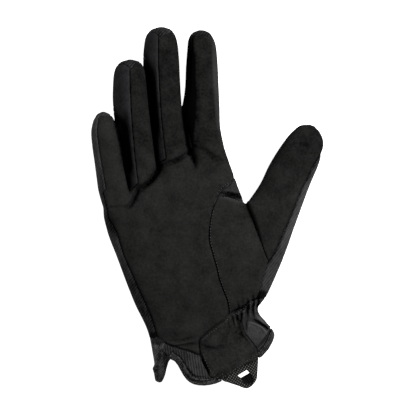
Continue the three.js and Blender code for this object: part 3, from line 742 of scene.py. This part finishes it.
outline = (
    *through(LITTLE_SIDE_SEAM[1:])[::-1], *FINGER_BASES, *PALM_WEB_CORNER,
    *through(GUSSET_PALM_SEAM), *through(THENAR_SEAM)[1:], *WRIST_SEAM[1:8][::-1],
)
CUFF_EDGE = ((80, -60), (80, -140), (-80, -140), (-80, -86.5))
form = folded(glove_form())
cloth, below_hem = cloth_of(form)
top = height_of(form)
# Taken is below zero where the cloth has gone into another panel: here the cuff's, which comes later
taken = area((*WRIST_SEAM, *CUFF_EDGE))[:, :, None] + 0 * form
bases = [(x, y - BASE_ALLOWANCE) for x, y in FINGER_BASES]
above_bases = area((*bases, (60, 26), (60, 140), (-90, 140), (-90, 4)))[:, :, None]
palm_region = above_height(outline, PALM_SPLIT)
for name, angles in FRONT.items():
    palm_region = np.minimum(palm_region, np.maximum(finger_strip(name, *angles), above_bases))
caps = np.minimum.reduce([area(cap) for cap in TIP_CAPS])[:, :, None]
palm_region = np.maximum(palm_region, -caps)
roll_share = 1 - CAP_FLATNESS * fade(np.abs(caps), *CAP_REACH)
palm = panel("palm_suede", palm_region, suede)
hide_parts("palm_panel")

# Stitches
# Black thread in a straight row beside each seam that is sewn down flat. Each stitch is a short bead of
# thread that dips into the cloth at both ends.
STITCH_START = 0.3
STITCH_PITCH = 1.9
STITCH_LENGTH = 1.35
STITCH_RADII = (0.12, 0.22, 0.25, 0.22, 0.12)  # along a stitch
STITCH_HEIGHTS = (-0.3, 0.02, 0.12, 0.02, -0.3)  # its middle line above the cloth
STITCH_SIDES = 6
STITCH_LOWEST = 12  # where the cloth is lower than this, a row has run off the glove

thread, shader, place = fabric("thread", roughness=0.6, specular=0.15)
twist = noise(thread, place, size=1.1, detail=1)
colour_between(thread, shader, twist, (0.0060, 0.0060, 0.0060), (0.0340, 0.0340, 0.0332))


def beside(points, distance):
    """The line moved to its left by a distance."""
    points = np.array(points, float)
    along = np.gradient(points, axis=0)
    along /= np.hypot(*along.T)[:, None]
    return points + distance * np.stack([-along[:, 1], along[:, 0]], 1)


def add_stitches(name, rows, lift=0.0):
    """Adds rows of stitches along lines, lying on the glove's upper surface."""
    points, faces = [], []
    turn = np.arange(STITCH_SIDES) * 2 * np.pi / STITCH_SIDES
    for row in rows:
        row = np.array(row, float)
        run = np.concatenate([[0], np.cumsum(np.hypot(*np.diff(row, axis=0).T))])
        for begin in np.arange(STITCH_START, run[-1] - STITCH_LENGTH, STITCH_PITCH):
            along = np.linspace(begin, begin + STITCH_LENGTH, len(STITCH_RADII))
            x, y = (np.interp(along, run, row[:, k]) for k in (0, 1))
            z = sampled(top, x, y) + np.array(STITCH_HEIGHTS) + lift
            if z.min() < STITCH_LOWEST:
                continue
            way = np.array([x[-1] - x[0], y[-1] - y[0]])
            way /= max(np.hypot(*way), 1e-6)
            first = len(points)
            for a, b, c, radius in zip(x, y, z, STITCH_RADII):
                for t in turn:
                    sideways = radius * np.cos(t)
                    points.append((a - way[1] * sideways, b + way[0] * sideways, c + radius * np.sin(t)))
            for k in range(len(STITCH_RADII) - 1):
                for i in range(STITCH_SIDES):
                    near, far = first + k * STITCH_SIDES, first + (k + 1) * STITCH_SIDES
                    j = (i + 1) % STITCH_SIDES
                    faces.append((near + i, near + j, far + j, far + i))
            # Each end is closed by the two halves of a hexagon
            last = first + (len(STITCH_RADII) - 1) * STITCH_SIDES
            faces += [(first + 3, first + 2, first + 1, first), (first + 5, first + 4, first + 3, first)]
            faces += [(last, last + 1, last + 2, last + 3), (last, last + 3, last + 4, last + 5)]
    return add_piece(name, np.array(points), np.array(faces), thread)


add_stitches("thenar_stitches", [beside(through(THENAR_SEAM[1:]), 1.0)])
add_stitches("gusset_stitches", [beside(through(GUSSET_PALM_SEAM), -1.0)])

# Web gusset
# A small triangle of stretch fabric between the palm and the base of the thumb, sewn into both, that
# opens when the thumb moves out.
GUSSET_THENAR_SEAM = ((6, 7), (11, 6.8), (15, 6), (19.4, 4.6), (25.4, 2.4))
GUSSET_EDGE = ((27.4, 5), (26, 26))
THUMB_SPLIT = 10  # height of the seams at the thumb's side above the table


def stretch_finish(name, light, texture, light_and_shade_spots):
    """Fine stretch tricot with painted shade in some spots. Texture is the share that its threads have in
    its shading.
    """
    material, shader, place = fabric(name, roughness=0.9, specular=0)
    grain = noise(material, place, size=0.9, stretch=(1, 1.8, 1))
    shade = weighted(material, (
        (noise(material, place, size=6), 1 - texture), (grain, texture), (painted_fold_shade_of(material), -0.25),
        *painted_light_spots(material, place, light_and_shade_spots),
    ))
    colour_between(material, shader, shade, (0.0003, 0.0003, 0.0003), light, start=0.0, end=0.72)
    bumped(material, shader, grain, depth_mm=0.15)
    return material


# Painted shade in a band along the fold at the gusset's root and in a spot near its middle
gusset_stretch = stretch_finish("gusset_stretch", (0.0175, 0.0175, 0.0178), 0.9, (
    ((16.5, 8), (11, 2.8), -10, -0.42), ((12.4, 14.6), (4, 4), 0, -0.2),
))
outline = (*through(GUSSET_PALM_SEAM), *through(GUSSET_THENAR_SEAM)[1:], *GUSSET_EDGE)
gusset = panel("web_gusset_stretch", above_height(outline, THUMB_SPLIT), gusset_stretch)
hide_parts("web_gusset")

# Thenar panel
# The suede over the ball of the thumb, a separate piece that is sewn to the palm along a curved seam
# and to the thumb's front at the crease where the thumb bends.
THUMB_CREASE = (
    (25.4, 2.4), (27.6, -3.4), (30.1, -10.1), (32.7, -17.6), (34.8, -23.5), (37, -30), (39.4, -36.5),
)
BASE_SEAM = ((39.4, -36.5), (36.2, -46), (32.6, -59))
outline = (
    *through(GUSSET_THENAR_SEAM)[::-1], *through(THENAR_SEAM)[1:], *WRIST_SEAM[9:],
    *through(BASE_SEAM)[::-1], *through(THUMB_CREASE)[::-1][1:-1],
)
thenar = panel("thenar_suede", above_height(outline, THUMB_SPLIT), suede)
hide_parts("thenar_panel")

# Thumb front
# The suede on the palm side of the thumb, set in at the crease so that the thumb can bend across, and
# sewn along its outer side to the twill of the thumb's back.
THUMB_FRONT_EDGE = ((84, 60), (50, 64), (26.8, 12))
outline = (*through(THUMB_CREASE), *through(THUMB_SIDE_SEAM)[1:], *THUMB_FRONT_EDGE)
thumb_front = panel("thumb_front_suede", above_height(outline, THUMB_SPLIT), suede)
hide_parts("thumb_front_panel")

# Fourchettes
# Strips of stretch tricot between the fingers, each running up the side of one finger, over the
# fingertip's side and down the next, sewn to the palm's suede and to the back.
# Painted shade on the fourchettes in the valleys between the fingers and on the index finger's left side
stretch = stretch_finish("stretch_tricot", (0.0148, 0.0148, 0.0159), 0.55, (
    ((-57.8, 37), (3.4, 44), 9, -0.4), ((-37.6, 62), (5.4, 50), 5, -0.5),
    ((-12.6, 78), (5.6, 48), 0, -0.5), ((-52, 42), (5, 26), 5, -0.16), ((-29.5, 52), (4, 30), 6, -0.2),
))
BACK_FROM = 226  # angles round a finger between which the back's twill covers it
BACK_TO = 314
SIDE_OVERLAP = 16  # degrees by which a strip reaches past the palm's suede, which is cut out of it
# Where the strips on two fingers run into each other: between which heights, and in plan
CROTCH_HEIGHTS = (6, 23)
CROTCHES = {
    ("little", "ring"): ((-56, 4), (-42, 4), (-42, 18), (-56, 18)),
    ("ring", "middle"): ((-38, 16), (-26, 20), (-26, 34), (-38, 32)),
    ("middle", "index"): ((-20, 26), (-8, 28), (-8, 44), (-20, 42)),
}
for (left, right), crotch in CROTCHES.items():
    strips = np.minimum(
        finger_strip(left, BACK_TO - 360, FRONT[left][0] + SIDE_OVERLAP),
        finger_strip(right, FRONT[right][1] - SIDE_OVERLAP, BACK_FROM),
    )
    lowest, highest = CROTCH_HEIGHTS
    foot = np.maximum(above_height(crotch, lowest), (gz - highest)[None, None, :])
    region = np.maximum(np.maximum(np.minimum(strips, foot), above_bases), -caps)
    side = panel(f"fourchette_{left}_{right}_stretch", region, stretch)
    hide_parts(f"fourchette_{left}_{right}")

# Thumb back
# The back and outer side of the thumb, of ribbed stretch twill, sewn to the suede of the thumb's front
# and reaching down to the wrist.
THUMB_BACK_AREA = ((28, 3), (26, -60.5), (44, -60.5), (90, 20), (84, 66), (48, 62), (28, 20))

twill, shader, place = fabric("stretch_twill", roughness=0.85, specular=0.02)
rib = noise(twill, place, size=1.2, stretch=(1, 2.5, 1))
diagonal = stripes(twill, place, pitch=1.6, angle=38, wobble=2)
shade = weighted(twill, (
    (rib, 0.5), (diagonal, 0.2), (noise(twill, place, size=7), 0.3), (painted_fold_shade_of(twill), -0.25),
    # Painted shade by the tab's root, in the fold at the wrist's right, on the index finger's left side
    # and round the fingertips; painted highlights on the thumb's outer strip and the little finger's left
    # side
    *painted_light_spots(twill, place, (
        ((-46, -70), (16, 44), 25, -0.15), ((-37, -88), (8, 7), 0, -0.4), ((35.5, -62), (7, 9), 0, -0.5),
        ((57, -4), (8, 30), -28, 0.14), ((-12.6, 78), (5.6, 48), 0, -0.6),
        ((-31, 117), (18, 8), 0, -0.14), ((-51, 96), (14, 7), 0, -0.14), ((-4, 115), (14, 6), 0, -0.2),
        ((-73, 38), (6, 34), 4, 0.1), ((-63, -11), (6, 12), 30, -0.2),
    )),
))
colour_between(
    twill, shader, shade, (0.0010, 0.0010, 0.0010), (0.0275, 0.0275, 0.0280), start=0.2, end=0.76,
)
bumped(twill, shader, rib, depth_mm=0.25)

thumb_back_region = area(THUMB_BACK_AREA)[:, :, None] + 0 * form
thumb_back = panel("thumb_back_twill", thumb_back_region, twill, allowance=True)
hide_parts("thumb_back_panel")

# Back panel
# The whole back of the hand and of the fingers, and the outer sides of the little and index fingers,
# of ribbed stretch twill. It is what is left of the cloth once every other panel is cut.
back = panel("back_twill", 0 * form - FAR, twill, allowance=True)
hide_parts("back_panel")

# Cuff patch
# A patch of suede on the palm side of the cuff, from the wrist seam over the hem, that the hang loop's
# legs are sewn under.
PATCH = (
    (-5.6, -87.5), (0.9, -81.1), (10.1, -74.4), (13.7, -70.5), (18.5, -71.5), (21.5, -76.4),
    (24, -83.7), (27.5, -88), (31, -92.4), (32.6, -99), (25.1, -103.8), (17.2, -109.4),
    (12.6, -112.4), (10.4, -112.9), (5.6, -112.4), (1.6, -110.4), (-0.7, -106.1), (-3.3, -100.8),
    (-4.6, -94.2),
)
PATCH_LAP = 0.6  # how far the patch laps over its neighbours
PATCH_ROLL = 0.5  # share of other edges' rounding that its edges have, as it lies flatter
OVERLAID = 0.35  # how far patch and tape stand out from the cloth that they are sewn on
CUFF_SPLIT = 12  # height at which patch and tape end above the table
CUFF_GRID = ((-44, -121.5, -1.1), (46, -58, 28.5), 0.38)  # a finer one for the cuff's small pieces

use_grid(*CUFF_GRID)
# The gathers and folds of the cuff, and lines of painted shade and painted highlight alone where the
# depth is 0, in the same order of values as the creases above
for crease in (
    (((-4.9, -97), (-3.3, -101.1), (-0.3, -107), (0.3, -110.1)), 1.8, 0.9, 1.4),
    (((-5.3, -85), (0.9, -81.1), (6.8, -75.7), (12.5, -71.8), (15.5, -69.8)), 0, 0.7, -0.5),
    (((-34.5, -88.3), (-35, -93.6), (-34.6, -98.8), (-34.6, -105.4)), 0, 0.6, -0.9),
    (((-31.9, -96.4), (-31.6, -99.4)), 0, 0.9, 0.9),
    (((-31.8, -102), (-31, -110)), 0, 0.7, -0.5),
    (((-13.4, -105.2), (-11.4, -108.4), (-9.4, -111), (-6.6, -112.3), (0.3, -112.6)), 0, 0.5, -0.6),
    (((21.3, -76.1), (21.6, -82.5), (23.8, -86.3), (27, -89.6)), 0.8, 0.7),
    (((25.3, -73.5), (24.9, -77.8), (24.9, -82)), 1.3, 0.8),
    (((25.9, -76.1), (29, -76.1), (31.7, -76.9), (34.3, -78.1), (36, -79.6), (37.5, -81.7),
      (38.4, -83.6)), -1.3, 0.8, -1.0),
    (((28.5, -73.7), (33.4, -76.4), (36.8, -78.4), (39.8, -81.3)), 3.2, 0.9, 1.4),
    (((31.4, -71.4), (33, -72.8), (35, -74.6), (37.8, -77.8)), -0.9, 0.9, -0.9),
    (((40.1, -76.5), (41.1, -78.8), (39.1, -82.2)), -0.5, 0.6, -0.8),
    (((41.4, -79.4), (40.3, -82.3), (38.1, -85.6), (35, -89.3), (32, -92.4)), 1.8, 0.6, 1.2),
    (((-14.2, -104.6), (-12.1, -107.5), (-9.8, -110.2), (-6.8, -111.4), (0.3, -111.6)), 0.9, 0.6, 1.0),
    (((-17.8, -105.4), (-15.5, -109.1), (-12.5, -112.4), (-9.9, -113.8), (-5.3, -114.1), (-0.3, -113.9),
      (3.3, -113.1)), 0.9, 0.5, 0.8),
    (((-37.5, -107.8), (-32.6, -107.8)), 1.0, 0.6, 1.4),
    (((-1, -95), (2, -90), (5, -88)), 0.4, 2.0),
    (((3, -98), (9, -94), (14, -95)), -0.4, 2.5),
    (((-4.4, -89.9), (-1, -91.6), (2.4, -92.2), (6.6, -93)), 0.8, 1.0, 0.7),
):
    fold(*crease)
form = folded(glove_form())
cloth, below_hem = cloth_of(form)
top = height_of(form)
above_wrist = area((*WRIST_SEAM, *CUFF_EDGE))[:, :, None]
taken = 0 * form + FAR
roll_share = PATCH_ROLL
patch_region = above_height(PATCH, CUFF_SPLIT) - PATCH_LAP
# Small spots of painted shade on the patch, and a painted highlight across its middle
patch_suede = suede_finish("patch_suede", (
    ((9.7, -88), (4.5, 7), 0, -0.06), ((20, -84), (4, 8), 0, -0.07), ((8, -112), (8, 5), 20, -0.07),
    ((-2, -84), (9, 6), 30, -0.05), ((16, -98), (14, 10), 30, 0.05),
), contrast=1.9)
patch = panel("cuff_patch_suede", patch_region, patch_suede, thicker=OVERLAID)
taken = np.minimum(taken, -above_wrist)
roll_share = 1.0
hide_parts("cuff_patch")
add_stitches("wrist_stitches", [
    beside(through(WRIST_SEAM[:5]), -0.9), beside(through(WRIST_SEAM[8:]), -1.0),
])
add_stitches("patch_stitches", [
    ((-4.2, -87.6), (1.6, -82.4), (10.6, -75.9), (13.6, -72.6)),
    ((-3, -96), (-2, -100), (0.6, -105.6), (3.2, -109.6), (6.4, -111.3)),
    ((9, -111.8), (16.6, -107.2), (24.6, -101.4), (34.4, -95.6)),
], lift=OVERLAID)

# Hem binding
# Folded tape that is sewn over the raw edge of the cuff with two rows of stitches. It comes in two
# lengths, one each side of the patch.
BINDING_WIDTH = 4.0
BINDING_ENDS = {"left": (3, 18), "right": (21, 27)}  # the points of the hem's line that it follows
BINDING_ROWS = (0.9, 3.2)  # the places of its two rows of stitches above that line

tape, shader, place = fabric("binding_tape", roughness=0.7, specular=0.1)
tape_grain = noise(tape, place, size=1.5, detail=3)
tape_rib = stripes(tape, place, pitch=1.3, angle=35, wobble=5)
shade = weighted(tape, (
    (tape_grain, 0.6), (tape_rib, 0.1), (noise(tape, place, size=4), 0.3), (painted_fold_shade_of(tape), -0.25),
    # Painted shade at the tab's root, along its right edge, on the binding beside it and on the hem's
    # right lobe
    *painted_light_spots(tape, place, (
        ((-33, -87), (8, 4), 0, -0.35), ((-27.5, -103), (2.2, 14), 8, -0.16),
        ((-17, -107), (9, 14), 25, -0.08), ((38, -87), (12, 16), -40, -0.12),
    )),
))
colour_between(
    tape, shader, shade, (0.0010, 0.0010, 0.0010), (0.0500, 0.0495, 0.0495), start=0.38, end=0.76,
)
bumped(tape, shader, weighted(tape, ((tape_grain, 1.0), (tape_rib, 0.8))), depth_mm=0.35)

for side, (first, end) in BINDING_ENDS.items():
    line = PALM_HEM[first:end]
    outline = (*beside(line, -BINDING_WIDTH), *beside(line, BINDING_WIDTH)[::-1])
    region = above_height(outline, CUFF_SPLIT)
    binding = panel(f"hem_binding_{side}_tape", region, tape, thicker=OVERLAID)
    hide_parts(f"hem_binding_{side}")
    rows = [beside(through(line, steps=2), away) for away in BINDING_ROWS]
    add_stitches(f"binding_{side}_stitches", rows, lift=OVERLAID)

# Pull tab
# A finger-wide tab at the outer side of the cuff, to pull the glove on by. It is covered in tape that is
# folded over its rim, and its root lies on the cuff below the wrist seam.
TAB = (
    (-36, -82), (-37.6, -88), (-37, -92.5), (-36.2, -95.8), (-35.8, -99.8), (-35.6, -104),
    (-36.8, -106.6), (-36, -109.2), (-35.5, -112), (-34.9, -114.8), (-33, -116), (-31, -116),
    (-29.6, -114.2), (-28.2, -110.4), (-27.2, -106), (-25.8, -101.8), (-24, -99.8), (-22.6, -98),
    (-23, -91), (-27, -82),
)
# Its height along its middle line, and the x of that line, at each y
TAB_TOP = ((-118, 10), (-112, 13), (-104, 17), (-98, 20.5), (-93, 22.3), (-88, 22), (-82, 17))
TAB_MIDDLE = ((-118, -31.8), (-108, -31.6), (-100, -31), (-84, -31))
TAB_DOME = 0.09  # fall from its middle line, for each mm sideways squared
TAB_WALL = 2.4
TAB_ROUNDING = 1.4
TAB_RIM = 1.6  # width of the tape folded over its edge
edge = area(through(TAB, steps=3))
tab_y = gy[None, :]
tab_height = np.interp(tab_y, *np.array(TAB_TOP).T)
tab_height = tab_height - TAB_DOME * (gx[:, None] - np.interp(tab_y, *np.array(TAB_MIDDLE).T)) ** 2
# A groove inside its rim, a ridge along its outer side and a dent across that: height, distance from
# its line, width, and where it is
for rise, away, width, share in (
    (-0.5, edge + TAB_RIM, 0.4, 1),
    (0.5, gx[:, None] + 34.3, 0.7, fade(tab_y, -112, -104)),
    (-1.1, tab_y + 107.6, 0.7, fade(gx[:, None], -31.5, -33.5)),
):
    tab_height = tab_height + rise * np.exp(-((away / width) ** 2)) * share
middle_height = (tab_height - TAB_WALL / 2)[:, :, None]
body = np.abs(gz[None, None, :] - middle_height) - TAB_WALL / 2
body = soft_max(body, edge[:, :, None] + 0 * body, TAB_ROUNDING)
tab = add_body("pull_tab_tape", body, tape)
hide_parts("pull_tab")

# Cuff
# Ribbed knit below the wrist seam, gathered by elastic that is sewn into the seam. Its ribs show on the
# left of the patch and are stretched smooth on the right.
RIBBED_TO = (12, 4)  # from smooth to ribbed, going left

knit, shader, place = fabric("ribbed_knit", roughness=0.8, specular=0.06)
ribs = product(
    knit, stripes(knit, place, pitch=1.7, angle=-8, wobble=4), ramped(knit, place, "X", *RIBBED_TO),
)
purl = noise(knit, place, size=0.6, stretch=(1, 2, 1))
shade = weighted(knit, (
    (ribs, 0.2), (purl, 0.36), (noise(knit, place, size=4, detail=3), 0.36), (painted_fold_shade_of(knit), -0.3),
    # Painted shade on the knit left of the patch and a painted highlight on the flare at the right
    *painted_light_spots(knit, place, (((-21, -97), (12, 9), -20, -0.12), ((31, -83), (11, 8), -30, 0.08))),
))
colour_between(knit, shader, shade, (0.0060, 0.0057, 0.0058), (0.0310, 0.0298, 0.0304))
bumped(knit, shader, weighted(knit, ((ribs, 0.8), (purl, 0.7))), depth_mm=0.3)

cuff = panel("cuff_knit", above_wrist + 0 * form, knit, allowance=True)
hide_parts("cuff")

# Hang loop
# A length of coarse webbing, folded to a point, that hangs the glove from a hook. Its legs are sewn
# under the patch at the hem.
LOOP = (
    (9, -110), (9.5, -113.8), (13.5, -115.3), (19, -117.2), (24.5, -119.2), (27.5, -118.5),
    (30.3, -116), (32.2, -112.7), (32.8, -106), (33.2, -98), (33.4, -94), (25.5, -98), (16.5, -103),
)
LOOP_SLOT = ((19.5, -110.7), (25.4, -107.1), (27.1, -108.9), (21.5, -112))
LOOP_FOLD = ((21.5, -112), (27.1, -108.9), (28.9, -110.5), (29.8, -113.8), (28.4, -116.6), (25, -115.8))
LOOP_THICKNESS = 1.8
LOOP_HEIGHT = 20.2  # of its lower face above the table
LOOP_PIVOT_X = 16  # where the tilted loop is at that height
LOOP_TILT = np.radians(9)
LOOP_ROUNDING = 0.7
LOOP_CELL = 0.26
LOOP_REACH = ((7, 36), (-121, -92), (-1.6, LOOP_THICKNESS + 1.6))  # of its own grid, along each axis
SLOT_ALLOWANCE = 0.1  # how much wider the slot is all round than its outline
POCKET_DEPTH = 0.7  # how far the folded inside lies below the webbing round it
POCKET_EDGE = (-0.3, 0.9)  # mm inside the fold's outline between which it sinks
WEAVE_PITCH = 1.45
WEAVE_ANGLE = 33.0  # of one set of yarns, as the loop's legs run under the patch
WEAVE_DEPTH = 0.4
WEAVE_FULLNESS = 0.7  # less is flatter between the yarns' edges

webbing, shader, place = fabric("webbing", roughness=0.7, specular=0.04)
yarn = noise(webbing, place, size=0.35)
warp = stripes(webbing, place, pitch=WEAVE_PITCH, angle=WEAVE_ANGLE, wobble=2.5)
weft = stripes(webbing, place, pitch=WEAVE_PITCH, angle=WEAVE_ANGLE - 90, wobble=2.5)
lit_yarns = product(webbing, warp, weft)
pocket_shade = blot(webbing, place, (26, -112.8), (5.2, 4.3), -40, core=0.6)
colour_between(
    webbing, shader, weighted(webbing, ((yarn, 0.6), (lit_yarns, 0.9), (pocket_shade, -1.2))),
    (0.0004, 0.0004, 0.0004), (0.0560, 0.0560, 0.0536), start=0.36, end=1.0,
)
bumped(webbing, shader, yarn, depth_mm=0.1)

gx, gy, gz = (np.arange(low, high, LOOP_CELL) for low, high in LOOP_REACH)
edge = np.maximum(area(through(LOOP)), -area(LOOP_SLOT) + SLOT_ALLOWANCE)
turn_x, turn_y = np.cos(np.radians(WEAVE_ANGLE)), np.sin(np.radians(WEAVE_ANGLE))
diagonal = (gx[:, None] * turn_x + gy[None, :] * turn_y) * np.pi / WEAVE_PITCH
counter = (gx[:, None] * turn_y - gy[None, :] * turn_x) * np.pi / WEAVE_PITCH
weave = WEAVE_DEPTH
for phase in (diagonal, counter):
    weave = weave * np.abs(np.sin(phase)) ** WEAVE_FULLNESS
sunk = POCKET_DEPTH * fade(-area(LOOP_FOLD), *POCKET_EDGE)
thickness = LOOP_THICKNESS / 2 + weave - sunk
band = np.abs(gz[None, None, :] - LOOP_THICKNESS / 2) - thickness[:, :, None]
body = soft_max(band, edge[:, :, None] + 0 * band, LOOP_ROUNDING)
body = np.pad(body, 1, constant_values=1)
start = np.array([gx[0], gy[0], gz[0]]) - LOOP_CELL
points, faces = surface(body, start, LOOP_CELL)
turned = points - (LOOP_PIVOT_X, 0, 0)
points = np.stack([
    LOOP_PIVOT_X + turned[:, 0] * np.cos(LOOP_TILT) + turned[:, 2] * np.sin(LOOP_TILT),
    turned[:, 1],
    LOOP_HEIGHT + turned[:, 2] * np.cos(LOOP_TILT) - turned[:, 0] * np.sin(LOOP_TILT),
], 1)
loop = add_piece("hang_loop_webbing", points, faces, webbing)
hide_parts("hang_loop")

# Table, light and camera
# The glove lies on a plain white table that shines a little by itself, between white walls, with a large
# soft lamp above the thumb and a small one beside the little finger. It is seen from straight above
# through a long lens.
PICTURE_HEIGHT = 15 * MM  # of the level plane half way up the glove that the picture is scaled for
PICTURE_WIDTH = 273.9 * MM  # how much of that plane the square picture takes in
PICTURE_MIDDLE = (0.52 * MM, 0.28 * MM)
CAMERA_DISTANCE = 1.5
SENSOR = 36.0
TABLE_SIZE = 6.0

mesh = bpy.data.meshes.new("table")
corner = TABLE_SIZE / 2
mesh.from_pydata(
    [(-corner, -corner, 0), (corner, -corner, 0), (corner, corner, 0), (-corner, corner, 0)],
    [], [(0, 1, 2, 3)],
)
table = add_object("table", mesh)
white = bpy.data.materials.new("table_white")
white.use_nodes = True
shader = white.node_tree.nodes["Principled BSDF"]
shader.inputs["Base Color"].default_value = (0.5, 0.5, 0.5, 1)
shader.inputs["Roughness"].default_value = 0.9
shader.inputs["Specular IOR Level"].default_value = 0.1
shader.inputs["Emission Color"].default_value = (1, 1, 1, 1)
shader.inputs["Emission Strength"].default_value = 1.0
mesh.materials.append(white)

world = bpy.data.worlds.new("studio")
bpy.context.scene.world = world
world.use_nodes = True
world.node_tree.nodes["Background"].inputs["Color"].default_value = (1, 1, 1, 1)
world.node_tree.nodes["Background"].inputs["Strength"].default_value = 0.12

for name, place, size, power in (
    ("softbox_right", (0.68, 0.45, 0.86), 0.6, 38),
    ("softbox_left", (-1.0, 0.15, 0.40), 0.4, 6),
):
    lamp = bpy.data.lights.new(name, "AREA")
    lamp.shape = "SQUARE"
    lamp.size = size
    lamp.energy = power
    softbox = add_object(name, lamp)
    softbox.location = place
    softbox.rotation_euler = (-softbox.location).to_track_quat("-Z", "Y").to_euler()

lens = bpy.data.cameras.new("camera")
lens.sensor_width = SENSOR
lens.lens = SENSOR * CAMERA_DISTANCE / PICTURE_WIDTH
lens.clip_end = 20
camera = add_object("camera", lens)
camera.location = (*PICTURE_MIDDLE, PICTURE_HEIGHT + CAMERA_DISTANCE)
bpy.context.scene.camera = camera
bpy.context.scene.view_settings.view_transform = "Standard"
